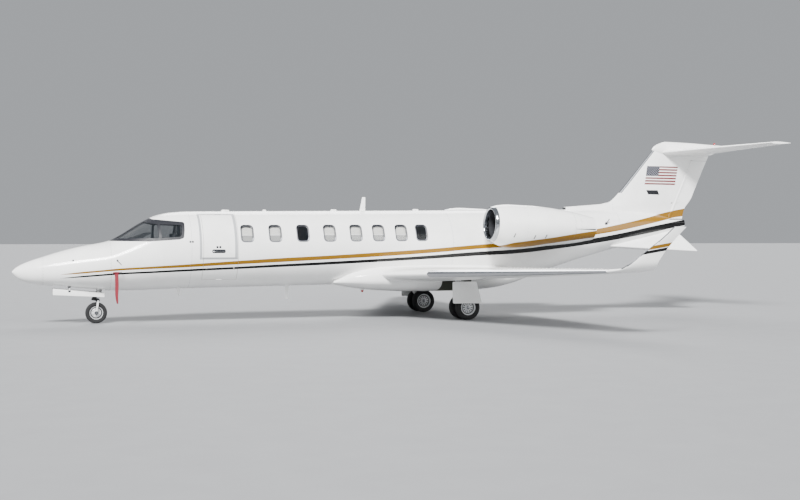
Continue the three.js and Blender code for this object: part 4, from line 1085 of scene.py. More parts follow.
def knuckle(i, start, radius, spare):
    """One hinge knuckle on the doorway's sill or head."""
    place, outward = door_edge(i)
    inset = DOOR["clear"] / 2
    edge = Vector((-outward.y, outward.x)) * (-inset if i else inset)
    pivot = place - edge
    x0 = KNUCKLE["x"] + start - spare
    x1 = KNUCKLE["x"] + start + KNUCKLE["length"] - 0.0003 + spare
    return bar("knuckle", (x0, *pivot), (x1, *pivot), radius, sides=20, bevel=0.001)


cabin = hollow("cabin_skin", COCKPIT_END, CABIN_END)
door_ring = copy_of(cabin, "door_ring")
for x in WINDOWS:
    carve(cabin, slab("window", window_outline(x), "y", -1.2, 1.2))
carve(cabin, slab("doorway", doorway(0), "x", DOOR["front"], DOOR["aft"]))
reach = KNUCKLE["length"]
for i in (0, 1):
    fuse(cabin, knuckle(i, -reach, KNUCKLE["radius"], 0))
    carve(cabin, knuckle(i, 0, KNUCKLE["radius"] + KNUCKLE["slack"], 0.0003))
AERIALS = ((4.47, 0.1), (5.36, 0.045), (6.97, 0.08), (8.97, 0.08))
crown_blade = slab("blade", [(7.6, 2.44), (7.74, 2.44), (7.745, 2.78), (7.67, 2.78)], "y", -0.01, 0.01)
belly_blade = slab("blade", [(5.83, 0.8), (5.93, 0.8), (5.905, 0.46), (5.85, 0.46)], "y", -0.009, 0.009)
fuse(cabin, soften(crown_blade, 0.008, 3), soften(belly_blade, 0.007, 3))
for x, ahead in AERIALS:
    top = crown(x)
    aerial = slab("aerial", [
        (x - ahead, top - 0.03), (x + ahead + 0.01, top - 0.03), (x + ahead - 0.01, top + 0.03),
        (x - ahead * 0.6, top + 0.034)], "y", -0.038, 0.038)
    fuse(cabin, soften(aerial, 0.012, 4))
hull_piece(cabin, livery, "cabin_shell")
paint_where(cabin, lining, deep(0.02))

gap = DOOR["clear"] / 2
for i, name in ((1, "upper"), (0, "lower")):
    region = (DOOR["split"] + gap, 3.0) if i else (0.0, DOOR["split"] - gap)
    node = "cabin_door_" + name
    door = copy_of(door_ring, "door_" + name)
    spare = DOOR["clear"] + DOOR["head_spare"] * i
    blank = slab("blank", doorway(spare), "x", DOOR["front"] + DOOR["clear"], DOOR["aft"] - DOOR["clear"])
    half = slab("half", rectangle(3.0, 5.0, *region), "y", -1.5, 0.0)
    common(door, blank, half)
    carve(door, knuckle(i, -reach, KNUCKLE["radius"] + KNUCKLE["slack"], KNUCKLE["slack"]))
    fuse(door, knuckle(i, 0, KNUCKLE["radius"], 0))
    hull_piece(door, livery, node, body=node)
    paint_where(door, lining, deep(0.02))
discard(door_ring)


def on_wall(outline, sign, depth):
    """A side outline laid on the fuselage wall at a depth under the skin."""
    return [(x, sign * wall_y(x, z, depth), z) for x, z in outline]


# A window's ring from its outer edge on the skin, down its sloped face, and back behind the pane
RING = [
    (0.0008, 0.001, 0.0), (0.008, 0.0015, 0.002), (0.03, 0.014, 0.014), (0.03, 0.03, 0.014),
    (0.0008, 0.03, 0.0),
]
SHADE = {"pitch": 0.012, "near": 0.044, "far": 0.053, "thick": 0.002, "joint": 0.6}


def pleated(x, sign):
    """A pleated window shade: an upper and a lower leaf that meet at a rail."""
    outline = window_outline(x, 0.003)
    low, high = min(z for _, z in outline), max(z for _, z in outline)
    x0, x1 = min(q for q, _ in outline), max(q for q, _ in outline)
    count = int((high - low) / SHADE["pitch"])
    levels = [low - 0.01 + (high - low + 0.02) * i / count for i in range(count + 1)]
    section_line = [(z, SHADE["near"] if i % 2 else SHADE["far"]) for i, z in enumerate(levels)]
    section_line += [(z, depth + SHADE["thick"]) for z, depth in reversed(section_line)]
    leaf = skin("leaf", [
        [(q, sign * wall_y(q, z, depth), z) for z, depth in section_line]
        for q in np.linspace(x0 - 0.01, x1 + 0.01, 4)])
    common(leaf, side_slab("outline", outline, sign, 0.3, 1.2))
    joint = high - SHADE["joint"] * (high - low)
    y = sign * (wall_y(x, joint, SHADE["near"]) + 0.001)
    rail = box("rail", (x0 + 0.004, y - 0.006, joint - 0.01), (x1 - 0.004, y + 0.006, joint + 0.01), 0.003)
    paint_where(dressed(leaf, shade_panel), shade_low, lambda x, y, z, n: z < joint)
    return joined("shade", leaf, dressed(rail, white))


def ring_lit_part(x, y, z, n):
    """Picks the lower part of a window's ring, which gets the painted light; it starts higher on its forward
    side.
    """
    centre = min(WINDOWS, key=lambda at: abs(at - x))
    return z < 1.87 + 0.62 * max(centre + 0.146 - x, 0)


pane_band = band("pane", COCKPIT_END + 0.01, CABIN_END - 0.01, 0.012, 0.018)
for name, sign in SIDES:
    rings, panes, shades = [], [], []
    for i, x in enumerate(WINDOWS):
        rings.append(skin("ring", [
            on_wall(window_outline(x, inset, top), sign, depth) for inset, depth, top in RING], loop=True))
        opening = side_slab("in", window_outline(x, 0.028, 0.013), sign, 0.3, 1.2)
        panes.append(common(copy_of(pane_band, "pane"), opening))
        if i in SHADED:
            shades.append(pleated(x, sign))
    # Window rings: the dark upper part is painted shade and the silver grey lower part is painted light
    rings = dressed(shade(joined("window_rings_" + name, *rings), 40), surround)
    paint_where(rings, ring_painted_light, ring_lit_part)
    piece(rings, None, "black_plastic", "cabin_shell")
    for pane in panes:
        shade(pane, field=body_field)
    piece(joined("window_panes_" + name, *panes), window_acrylic, "glass", "cabin_windows_" + name)
    assembly("window_shades_" + name, shades, "grey_paint", "cabin_shell", angle=20)
discard(pane_band)

aft_room = body_solid("inner", CABIN_END + 0.06, AFT_END + 0.05, WALL)
aft = carve(body_solid("aft_skin", CABIN_END, AFT_END), aft_room)
hull_piece(aft, livery, "aft_fuselage")
tail = body_solid("tail_skin", AFT_END, TAIL_END)
carve(tail, slab("shelf", rectangle(15.78, 16.5, TAIL_SHELF, 2.7), "y", -0.3, 0.3))
hull_piece(tail, livery, "tail_cone")

# Belly fairing round the wing's root, with the wheel wells: station, half width, top, bottom
FAIRING = [
    (6.85, 0.5, 0.88, 0.79), (7.3, 0.8, 1.12, 0.7), (7.9, 0.96, 1.24, 0.63), (8.7, 1.01, 1.27, 0.595),
    (9.9, 1.01, 1.27, 0.59), (10.7, 0.95, 1.24, 0.64), (11.3, 0.76, 1.18, 0.76), (11.9, 0.42, 1.08, 0.96),
]
fairing_half, fairing_top, fairing_low = (curve(FAIRING, column) for column in (1, 2, 3))


def fairing_ring(x):
    """One ring of the belly fairing: a box with full round corners."""
    mid, tall = (fairing_top(x) + fairing_low(x)) / 2, (fairing_top(x) - fairing_low(x)) / 2
    angle = np.arange(BODY_SIDES) * 2 * math.pi / BODY_SIDES
    c, s = np.cos(angle), np.sin(angle)
    y = np.sign(c) * np.abs(c) ** 0.7 * fairing_half(x)
    z = mid + np.sign(s) * np.abs(s) ** 0.75 * tall
    return np.stack([np.full(BODY_SIDES, x), y, z], 1)


def well_tool(sign):
    """The room of one main wheel well."""
    outline = rectangle(WELL["front"], WELL["aft"], 0.3, WELL["roof"])
    return side_slab("well", outline, sign, WELL["inner"], WELL["outer"])


def in_well(x, y, z, n):
    """Picks the faces of the wheel wells."""
    flat = max(abs(n.x), abs(n.y), abs(n.z)) > 0.999
    inside = WELL["front"] - 0.001 < x < WELL["aft"] + 0.001 and z < WELL["roof"] + 0.001
    return flat and inside and WELL["inner"] - 0.001 < abs(y) < WELL["outer"] + 0.001


belly_stations = np.linspace(FAIRING[0][0], FAIRING[-1][0], 64)
belly = skin("belly_fairing_skin", [fairing_ring(x) for x in belly_stations])
carve(belly, body_solid("body", 5.0, 13.0), well_tool(-1), well_tool(1))
biggest(belly)
piece(shade(belly, 40), white, "white_paint", "belly_fairing")
paint_where(belly, primer, in_well)

# Wings, flaps, ailerons and winglets
# Winglet sections: step, y, height, leading edge, trailing edge, thickness ratio, lean in degrees
WINGLET = [
    (0, 6.7, 1.215, 10.26, 11.1, 0.1, 0), (1, 6.9, 1.25, 10.39, 11.14, 0.1, 22),
    (2, 7.03, 1.36, 10.56, 11.14, 0.09, 52), (3, 7.1, 1.56, 10.8, 11.235, 0.08, 72),
    (4, 7.2, 1.83, 11.13, 11.42, 0.078, 76), (5, 7.265, 2.03, 11.33, 11.59, 0.072, 77),
]
winglet_curves = [curve(WINGLET, column) for column in range(1, 7)]
winglet_lead = curve([row[2:4] for row in WINGLET], 1)
HINGE_FAIRING = {"at": (1.3, 3.0), "front": 0.81, "aft": 0.97, "drop": 0.008, "radius": 0.026, "end": 0.009}

for name, sign in SIDES:
    rows = [between(WING_ROOT, WING_TIP, y) for y in np.linspace(WING_ROOT[0], WING_TIP[0], 9)]
    wing = skin("wing_skin_" + name, [section(row, sign) for row in rows])
    carve(wing, well_tool(sign))
    flap = hinged(wing, "flap_skin_" + name, WING_ROOT, WING_TIP, FLAP, sign)
    aileron = hinged(wing, "aileron_skin_" + name, WING_ROOT, WING_TIP, AILERON, sign)
    for y in HINGE_FAIRING["at"]:
        ends = []
        for f in (HINGE_FAIRING["front"], HINGE_FAIRING["aft"]):
            _, z, lead, trail, ratio = between(WING_ROOT, WING_TIP, y)
            under = z - half_thickness(f, ratio) * (trail - lead) - HINGE_FAIRING["drop"]
            ends.append((lead + f * (trail - lead), sign * y, under))
        pod = bar("pod", *ends, HINGE_FAIRING["radius"], HINGE_FAIRING["end"], bevel=0.007)
        fuse(flap, pod)
    piece(shade(wing, 35), wing_paint, "white_paint", "wing_" + name)
    paint_where(wing, primer, in_well)
    piece(shade(flap, 35), white, "white_paint", "flap_" + name, body="flap_" + name)
    piece(shade(aileron, 35), white, "white_paint", "aileron_" + name, body="aileron_" + name)
    rings = []
    for t in np.linspace(0, 5, 36):
        y, z, lead, trail, ratio, lean = (float(at(t)) for at in winglet_curves)
        rings.append(section((y, z, lead, trail, ratio), sign, lean))
    winglet = skin("winglet_skin_" + name, rings)
    piece(shade(winglet, 40), winglet_paint, "white_paint", "winglet_" + name)
    paint_where(winglet, titanium, lambda x, y, z, n: z > 1.27 and x - winglet_lead(z) < 0.025)

# Fin with its dorsal fairing, and the rudder
# Fin sections: height, leading edge, trailing edge, half thickness. Dorsal: station, half width, top
FIN = [
    (2.24, 13.75, 16.23, 0.095), (2.6, 13.75, 16.33, 0.095), (2.73, 14.13, 16.43, 0.092),
    (2.85, 14.29, 16.52, 0.09), (3.02, 14.455, 16.6, 0.086), (3.9047, 15.245, 17.02, 0.066),
    (4.06, 15.384, 17.094, 0.062),
]
fin_lead, fin_trail, fin_half = (curve(FIN, column) for column in (1, 2, 3))
DORSAL = [
    (12.88, 0.07, 2.6), (13.4, 0.08, 2.64), (13.89, 0.085, 2.682), (14.15, 0.08, 2.725), (14.8, 0.06, 2.74),
]
dorsal_half, dorsal_top = curve(DORSAL, 1), curve(DORSAL, 2)
DORSAL_BASE = 2.3
RUDDER = {"low": (15.85, 2.336), "high": (16.52, 3.82), "low_nose": 0.052, "high_nose": 0.04}
STAB_ROOT = (0.06, 4.01, 15.59, 17.06, 0.1)
STAB_TIP = (2.6, 4.1, 17.01, 17.56, 0.09)
STAB_CUT = 3.905


def fin_ring(z):
    lead, trail, half = fin_lead(z), fin_trail(z), fin_half(z)
    chord = trail - lead

    def at(f, face):
        return (lead + f * chord, face * (half_thickness(f, 2 * half / chord) * chord + TRAILING_HALF * f), z)

    return [at(f, 1) for f in CHORD_STEPS] + [at(f, -1) for f in CHORD_STEPS[:0:-1]]


def dorsal_ring(x):
    angle = np.linspace(0, math.pi, 36)
    y = np.cos(angle) * dorsal_half(x)
    z = DORSAL_BASE + np.sin(angle) ** 0.4 * (dorsal_top(x) - DORSAL_BASE)
    return np.stack([np.full(36, x), y, z], 1)


def rudder_x(z):
    """The rudder's hinge line as a station over the height."""
    (x0, z0), (x1, z1) = RUDDER["low"], RUDDER["high"]
    return x0 + (z - z0) * (x1 - x0) / (z1 - z0)


def rudder_region(by):
    """The room behind the rudder's hinge line, longer at both ends by a gap."""
    low, high = RUDDER["low"][1] - by, RUDDER["high"][1] + by
    outline = [(rudder_x(low), low), (17.6, low), (17.6, high), (rudder_x(high), high)]
    return slab("region", outline, "y", -0.3, 0.3)


def rudder_bar(low_radius, high_radius, below, above):
    """A bar along the rudder's hinge line, longer at its ends."""
    low, high = RUDDER["low"][1] - below, RUDDER["high"][1] + above
    return bar("rod", (rudder_x(low), 0, low), (rudder_x(high), 0, high), low_radius, high_radius, 48, 0.0005)


fin = skin("fin_skin", [fin_ring(z) for z in np.linspace(FIN[0][0], FIN[-1][0], 66)])
fuse(fin, skin("dorsal", [dorsal_ring(x) for x in np.linspace(DORSAL[0][0], DORSAL[-1][0], 40)]))
rudder = common(copy_of(fin, "rudder_skin"), rudder_region(0))
fuse(rudder, rudder_bar(RUDDER["low_nose"], RUDDER["high_nose"], 0, 0), rudder_bar(0.01, 0.01, 0.03, 0.0117))
carve(fin, rudder_region(SURFACE_GAP), rudder_bar(
    RUDDER["low_nose"] + SURFACE_GAP, RUDDER["high_nose"] + SURFACE_GAP, 0.06, 0.012))
carve(fin, body_solid("body", 12.0, TAIL_END))
biggest(fin)
piece(shade(fin, 40), livery, "white_paint", "fin")
paint_where(fin, titanium, lambda x, y, z, n: z > 2.98 and x < 0.97 * fin_lead(z) + 0.03 * fin_trail(z))
piece(shade(rudder, 40), livery, "white_paint", "rudder", body="rudder")

# Tailplane with the bullet fairing that caps the fin, and the elevators
# Bullet sections: station, half width, top, bottom
BULLET = [
    (15.37, 0.008, 4.095, 4.075), (15.43, 0.04, 4.165, 4.01), (15.56, 0.075, 4.23, 3.95),
    (15.78, 0.1, 4.29, STAB_CUT), (16.5, 0.1, 4.275, STAB_CUT), (17.05, 0.075, 4.25, 3.96),
    (17.44, 0.018, 4.235, 4.12),
]
bullet_half, bullet_top, bullet_low = (curve(BULLET, column) for column in (1, 2, 3))


def bullet_ring(x):
    angle = np.arange(48) * 2 * math.pi / 48
    mid, tall = (bullet_top(x) + bullet_low(x)) / 2, (bullet_top(x) - bullet_low(x)) / 2
    return np.stack([np.full(48, x), np.cos(angle) * bullet_half(x), mid + np.sin(angle) * tall], 1)


tailplane = skin("tailplane_skin", [
    bullet_ring(x) for x in np.linspace(BULLET[0][0], BULLET[-1][0], 70)])
for name, sign in SIDES:
    centre = (0.0, *STAB_ROOT[1:])
    rows = [centre] + [between(centre, STAB_TIP, y) for y in np.linspace(0.4, 2.6, 6)]
    half = skin("half", [section(row, sign) for row in rows])
    elevator = hinged(half, "elevator_skin_" + name, STAB_ROOT, STAB_TIP, ELEVATOR, sign)
    piece(shade(elevator, 35), white, "white_paint", "elevator_" + name, body="elevator_" + name)
    fuse(tailplane, half)
carve(tailplane, slab("room", rectangle(14.0, 18.0, 2.0, STAB_CUT), "y", -0.06, 0.06))
piece(shade(tailplane, 40), white, "white_paint", "tailplane")

# Delta fins under the tail cone: thin triangles on its lower flanks
DELTA, DELTA_HALF = ((13.85, 0.33, 1.64), (15.98, 0.06, 2.06), (16.1, 0.93, 1.51)), 0.017
for name, sign in SIDES:
    corners = [Vector((x, sign * y, z)) for x, y, z in DELTA]
    across = (corners[1] - corners[0]).cross(corners[2] - corners[0]).normalized() * DELTA_HALF
    delta = skin("delta_skin_" + name, [[tuple(p + across * way) for p in corners] for way in (-1, 1)])
    carve(soften(delta, 0.012, 4), body_solid("body", 13.0, TAIL_END))
    piece(shade(biggest(delta), 40), white, "white_paint", "delta_fin_" + name)

# Engines: each built along its own axis, then drooped and moved to its place
# Profiles: place along the axis, radius
ENGINE = {"x": 10.285, "y": 1.45, "z": 2.145, "droop": 0.035}
COWL = [
    (-0.045, 0.366), (-0.03, 0.388), (0.03, 0.411), (0.16, 0.444), (0.42, 0.469), (0.95, 0.467),
    (1.4, 0.44), (1.745, 0.402), (2.13, 0.348), (2.56, 0.262),
]
INTAKE = [(-0.02, 0.336), (0.12, 0.320), (0.4, 0.3585), (0.7, 0.3585), (2.13, 0.3)]
LIP = (-0.045, 0.035)
COWL_END, NOZZLE_START, NOZZLE_END = 2.13, 2.132, 2.56
cowl_outer, cowl_inner = curve(COWL, 1), curve(INTAKE, 1)
CORE = [
    (0.64, 0), (0.64, 0.355), (1.3, 0.33), (1.95, 0.3), (1.96, 0.285), (2.16, 0.16), (2.38, 0.03), (2.39, 0),
]
HUB = [
    (0.2, 0), (0.202, 0.012), (0.23, 0.042), (0.3, 0.082), (0.38, 0.11), (0.54, 0.11), (0.599, 0.06),
    (0.599, 0),
]
BLADE_SECTION = ((-1, 0), (-0.5, 1), (0.5, 0.8), (1, 0), (0.5, -0.8), (-0.5, -1))
BLADES = 24
PYLON_SECTION = [
    (0.56, 0), (0.7, 0.062), (1.0, 0.075), (1.7, 0.07), (2.3, 0.02),
    (2.3, -0.02), (1.7, -0.07), (1.0, -0.075), (0.7, -0.062),
]


def engine_place(sign):
    """Matrix that takes shapes built along the engine's axis to its place in the frame."""
    turn = Matrix.Rotation(ENGINE["droop"], 4, "Y")
    return Matrix.Translation((ENGINE["x"] + NOSE_X, sign * ENGINE["y"], ENGINE["z"])) @ turn @ HOME


def lip_profile():
    """Nose of the cowling, from the throat round the highlight to the polished lip's aft edge."""
    tip, end = LIP
    inner = [(x, cowl_inner(x)) for x in np.linspace(end + 0.045, tip + 0.025, 8)]
    turn_in = [(tip + 0.007, 0.344), (tip, 0.356)]
    outer = [(tip + by, cowl_outer(tip + by)) for by in (0.0, 0.004, 0.012, 0.026, 0.046)]
    outer.append((end, cowl_outer(end)))
    return inner + turn_in + outer + [(end, outer[-1][1] - 0.02), (end + 0.045, inner[0][1] + 0.02)]


def cowl_profile():
    """The cowling's wall from the lip to the exhaust nozzle, with the duct inside."""
    start, end = LIP[1] + 0.002, COWL_END
    outer = [(x, cowl_outer(x)) for x in np.linspace(start, end, 44)]
    inner = [(x, cowl_inner(x)) for x in np.linspace(end, start + 0.045, 36)]
    return outer + inner


# How far the cowling hangs down: place along the axis, drop
CHIN = [(-0.1, 0), (0.05, 0), (0.3, 0.045), (0.55, 0.054), (0.9, 0.036), (1.35, 0), (2.6, 0)]
chin_drop = curve(CHIN, 1)


def chinned(obj):
    """Hangs the cowling's outer wall a little lower under its gearbox; works on its own axis."""
    for vertex in obj.data.vertices:
        a, y, z = vertex.co.x - NOSE_X, vertex.co.y, vertex.co.z
        radius = math.hypot(y, z)
        if z < 0 and radius > cowl_outer(min(max(a, 0), NOZZLE_END)) - 0.03:
            vertex.co.z -= chin_drop(a) * (z / radius) ** 2
    return obj


def blade_ring(t):
    """A fan blade's section at a share of its height: it twists, widens and thins towards the tip."""
    stagger = math.radians(32 + 26 * t)
    half, thick, middle = 0.05 + 0.012 * t, 0.004 - 0.0025 * t, 0.465
    c, s = math.cos(stagger), math.sin(stagger)
    ring = []
    for u, w in BLADE_SECTION:
        lift = w * thick + 0.006 * (1 - u * u)
        ring.append((middle + u * half * c - lift * s, u * half * s + lift * c, 0.085 + t * 0.267))
    return ring


def ducted(obj):
    """Gives a cowling still on its own axis the duct lining, darkened as painted shade, on the faces that
    look inward.
    """
    return paint_where(dressed(obj, cowl_paint), duct, lambda x, y, z, n: n.y * y + n.z * z < 0)


for name, sign in SIDES:
    place = engine_place(sign)
    pylon = slab("pylon", rounded(PYLON_SECTION, 0.04, 3), "y", *sorted((-sign * 0.3, -sign * 0.9)))
    core = turned("core_" + name, CORE, sides=96)
    for part in (core, pylon):
        part.data.transform(place)
    carve(pylon, body_solid("body", 9.0, 14.0))
    cowl = chinned(ducted(turned("cowling_" + name, cowl_profile(), sides=96)))
    cowl.data.transform(place)
    piece(shade(cowl, 35), None, "white_paint", "nacelle_" + name)
    lip = turned("intake_lip_" + name, lip_profile(), sides=96)
    lip.data.transform(place)
    piece(shade(lip, 50), polished, "white_paint", "nacelle_" + name)
    piece(shade(pylon, 35), white, "white_paint", "engine_and_pylon_" + name)
    pylon.name = "pylon_" + name
    piece(shade(core, 35), nickel, "nozzle_metal", "engine_and_pylon_" + name)
    outer = [(x, cowl_outer(x)) for x in np.linspace(NOZZLE_START, NOZZLE_END, 12)]
    inner = [(NOZZLE_END, outer[-1][1] - 0.008), (2.4, 0.268), (2.26, 0.285), (NOZZLE_START, 0.3)]
    nozzle = dressed(turned("nozzle_" + name, outer + inner, sides=96), cowl_paint)
    paint_where(nozzle, nickel, lambda x, y, z, n: n.y * y + n.z * z < 0.001)
    nozzle.data.transform(place)
    piece(shade(nozzle, 50), None, "nozzle_metal", "exhaust_nozzle_" + name)

    hub = dressed(turned("fan_hub_" + name, HUB), titanium)
    blade = skin("blades", [blade_ring(t) for t in np.linspace(0, 1, 8)])
    blades = around(blade, BLADES, (0, 0, 0), (1, 0, 0), titanium)
    for part in (hub, blades):
        part.data.transform(place)
    assembly("fan_rotor_" + name, [hub, blades], "fan_metal", "fan_" + name, body="fan_" + name, angle=40)

# Wheels and tyres: each built about its own axle, then moved to its place

NOSE_AXLE = (1.704, 0.2285)
MAIN_AXLE, TRACK, TWIN = (9.634, 0.2795), 1.425, 0.19
NOSE_TYRE = {"radius": 0.2285, "half": 0.056, "bead": 0.138, "flange": 0.15, "grooves": (-0.02, 0.0, 0.02)}
MAIN_TYRE = {"radius": 0.2795, "half": 0.073, "bead": 0.164, "flange": 0.176,
             "grooves": (-0.036, -0.012, 0.012, 0.036)}
WHEEL_SIDES = 72


def tyre(name, plan, place):
    """A ribbed aircraft tyre: round shoulders, tread grooves 7 mm wide, and a raised sidewall ring."""
    radius, half, bead = plan["radius"], plan["half"], plan["bead"]
    tread = half * 0.78
    crown_line = [(-tread, radius - 0.006)]
    for at in plan["grooves"]:
        for step, drop in ((-0.0035, 0.0), (-0.002, 0.007), (0.002, 0.007), (0.0035, 0.0)):
            level = 0.006 * ((at + step) / tread) ** 2
            crown_line.append((at + step, radius - level - drop))
    crown_line.append((tread, radius - 0.006))
    height = radius - bead
    side = [
        (half * 0.92, radius - 0.16 * height), (half * 0.99, radius - 0.33 * height),
        (half, radius - 0.5 * height), (half * 0.985, radius - 0.62 * height),
        (half * 1.0, radius - 0.66 * height), (half * 0.97, radius - 0.72 * height),
        (half * 0.84, bead + 0.09 * height), (half * 0.72, bead), (half * 0.66, bead - 0.008)]
    profile = [(-a, r) for a, r in reversed(side)] + crown_line + side
    return turned(name, profile, "y", WHEEL_SIDES, Matrix.Translation(place))


def wheel(name, plan, place, outward, slots, axle):
    """A split forged wheel: flanges, drop centre, slotted web on the outboard side, hub and tie bolts."""
    rim, half = plan["bead"], plan["half"] * 0.76
    flange = plan["flange"]
    profile = [
        (-half, rim - 0.004), (-half - 0.003, rim), (-half - 0.003, flange), (-half + 0.004, flange),
        (-half + 0.009, rim), (-half * 0.5, rim - 0.002), (-half * 0.3, rim - 0.016),
        (half * 0.3, rim - 0.016), (half * 0.5, rim - 0.002), (half - 0.009, rim),
        (half - 0.004, flange), (half + 0.003, flange),
        (half + 0.003, rim - 0.006), (half - 0.002, rim - 0.012), (half * 0.3, rim - 0.02),
        (-half * 0.1, rim - 0.024), (-half * 0.1, rim - 0.034), (half * 0.5, rim - 0.038),
        (half * 0.62, rim - 0.05), (half * 0.6, 0.062), (half * 0.8, 0.054), (half * 0.95, 0.05),
        (half, 0.044), (half, axle), (-half * 0.8, axle), (-half * 0.8, 0.05), (half * 0.2, 0.056),
        (half * 0.22, rim - 0.05), (-half * 0.28, rim - 0.044), (-half * 0.28, rim - 0.024),
        (-half + 0.006, rim - 0.016)]
    body = turned("wheel", [(outward * a, r) for a, r in profile], "y", WHEEL_SIDES)
    inner, outer = 0.066, rim - 0.046
    wide = 0.55 * math.pi * (inner + outer) / slots / 2
    outline = rounded([(-wide * 0.7, inner), (wide * 0.7, inner), (wide, outer), (-wide, outer)], 0.008, 4)
    hole = slab("hole", outline, "y", -0.03, 0.06) if outward > 0 else slab("hole", outline, "y", -0.06, 0.03)
    carve(body, around(hole, slots, (0, 0, 0), (0, 1, 0), wheel_metal))
    dressed(body, wheel_metal)
    # Painted shade: the inboard part of the wheel is black, so that its slots and inner recesses look dark
    paint_where(body, carbon_and_painted_shade, lambda x, y, z, n: outward * y < half * 0.25)
    at = Vector((math.sin(math.pi / slots), 0, math.cos(math.pi / slots))) * (outer - 0.006)
    shift = Vector((0, outward * half, 0))
    head = at + shift * 0.62 + shift.normalized() * 0.007
    bolt = bar("bolt", at + shift * 0.5, head, 0.006, 0.006, 6, 0.001)
    bolts = around(bolt, slots, (0, 0, 0), (0, 1, 0), steel)
    cap_line = [(0.0, 0.0), (0.0, 0.04), (0.012, 0.034), (0.018, 0.02), (0.019, 0.0)]
    cap = turned("cap", [(outward * (half + a), r) for a, r in cap_line], "y", 32)
    whole = joined(name, body, bolts, dressed(cap, steel))
    whole.data.transform(Matrix.Translation(place))
    return whole


nose_place = (NOSE_AXLE[0], 0.0, NOSE_AXLE[1])
nose_tyre = tyre("nose_tyre_ribbed", NOSE_TYRE, nose_place)
piece(shade(nose_tyre, 35), rubber, "tyre", "nose_tyre", body="nose_wheel")
rim_parts = [wheel("nose_wheel_half", NOSE_TYRE, nose_place, side, 6, 0.018) for _, side in SIDES]
assembly("nose_wheel_forged", rim_parts, "wheel_metal", "nose_wheel", body="nose_wheel")
for name, sign in SIDES:
    halves, body = [], "main_wheels_" + name
    for where_to, at in (("outer", TRACK + TWIN), ("inner", TRACK - TWIN)):
        place = (MAIN_AXLE[0], sign * at, MAIN_AXLE[1])
        outward = sign if where_to == "outer" else -sign
        made = tyre("main_tyre_ribbed_%s_%s" % (name, where_to), MAIN_TYRE, place)
        piece(shade(made, 35), rubber, "tyre", "main_tyre_%s_%s" % (name, where_to), body=body)
        halves.append(wheel("main_wheel_half", MAIN_TYRE, place, outward, 12, 0.026))
    assembly("main_wheels_forged_" + name, halves, "wheel_metal", body, body=body)

# Nose gear: a raked strut in the bay, a steered fork with its torque links, and the bay's two doors
RAKE = 0.105
LEG_TOP, LEG_FOOT, STRUT = 1.1495, 0.62, 0.048


def strut_x(z):
    return NOSE_AXLE[0] + RAKE * (z - NOSE_AXLE[1])


def on_strut(z, ahead=0.0, y=0.0):
    """A point at a height on the strut's axis, moved ahead of it and to one side."""
    return (strut_x(z) - ahead, y, z)


leg = rods(
    (gear_enamel, "strut", on_strut(LEG_FOOT), on_strut(LEG_TOP), STRUT, STRUT, 40),
    (gear_enamel, "collar", on_strut(LEG_TOP - 0.04), on_strut(LEG_TOP), 0.06, 0.06, 40),
    (steel, "gland", on_strut(LEG_FOOT), on_strut(LEG_FOOT + 0.03), 0.053, 0.053, 40),
    (gear_enamel, "drag_rod", on_strut(0.7), (1.33, 0, 1.09), 0.02),
    (steel, "drag_end", on_strut(0.7, 0.01, -0.035), on_strut(0.7, 0.01, 0.035), 0.027),
    (steel, "pivot", on_strut(1.0, 0, -0.15), on_strut(1.0, 0, 0.15), 0.022),
    (steel, "actuator", on_strut(0.86, 0.03), (1.45, 0, 1.12), 0.03, 0.022),
)
for y in (-0.03, 0.03):
    hose = [
        on_strut(LEG_TOP - 0.05, -0.07, y), on_strut(1.0, -0.078, y * 1.2), on_strut(0.85, -0.07, y),
        on_strut(0.72, -0.06, y * 0.8), on_strut(0.66, -0.05, y * 0.7)]
    leg.append(dressed(pipe("hose", hose, 0.007, 8), seal))
assembly("nose_leg_strut", leg, "steel", "nose_leg")

CROWN_Z = 0.5
TORQUE_APEX = {"z": 0.512, "ahead": 0.125}


def on_axle(y):
    """A point on the nose wheel's axle."""
    return (NOSE_AXLE[0], y, NOSE_AXLE[1])


def at_apex(y=0.0):
    """A point on the pin that joins the two torque links."""
    return on_strut(TORQUE_APEX["z"], TORQUE_APEX["ahead"], y)


fork = rods(
    (chrome, "piston", on_strut(0.505), on_strut(LEG_FOOT - 0.0005), 0.036, 0.036, 40),
    (surround, "crown", on_strut(CROWN_Z, 0, -0.096), on_strut(CROWN_Z, 0, 0.096), 0.042, 0.042, 32, 0.012),
    (steel, "axle", on_axle(-0.09), on_axle(0.09), 0.0178),
    (steel, "tow_bar", on_axle(-0.13), on_axle(0.13), 0.016),
)
for _, sign in SIDES:
    (x0, z0), x1 = NOSE_AXLE, strut_x(CROWN_Z)
    arm = rounded([
        (x1 - 0.014, CROWN_Z + 0.01), (x1 + 0.034, CROWN_Z + 0.01), (x0 + 0.021, z0 + 0.03),
        (x0 + 0.016, z0 - 0.02), (x0 - 0.016, z0 - 0.02), (x0 - 0.012, z0 + 0.04)], 0.02)
    fork.append(plate(gear_enamel, arm, sign, 0.0665, 0.0965, 0.009, 3))
    fork += rods(
        (surround, "boss", on_axle(sign * 0.066), on_axle(sign * 0.1), 0.038, 0.038, 32),
        (steel, "nut", on_axle(sign * 0.1), on_axle(sign * 0.114), 0.026, 0.026, 6),
    )
for y in (-0.028, 0.028):
    fork += rods(
        (seal, "upper_link", on_strut(0.66, 0.055, y), at_apex(y * 0.6), 0.018, 0.012),
        (seal, "lower_link", at_apex(y * 0.6), on_strut(0.5, 0.02, y), 0.012, 0.018),
    )
fork += rods((steel, "apex", at_apex(-0.03), at_apex(0.03), 0.014))
web = [on_strut(0.61, 0.066), at_apex(), on_strut(0.5, 0.03), on_strut(0.6, 0.04)]
fork.append(dressed(slab("web", [(x, z) for x, _, z in web], "y", -0.02, 0.02), seal))
axis = along(on_strut(0.0), on_strut(1.0))
ring = turned("steering_ring", rectangle(0.634, 0.682, 0.0545, 0.072), "x", 40, axis)
fork.append(dressed(ring, seal))
assembly("nose_fork_forging", fork, "steel", "nose_fork", body="nose_steering")

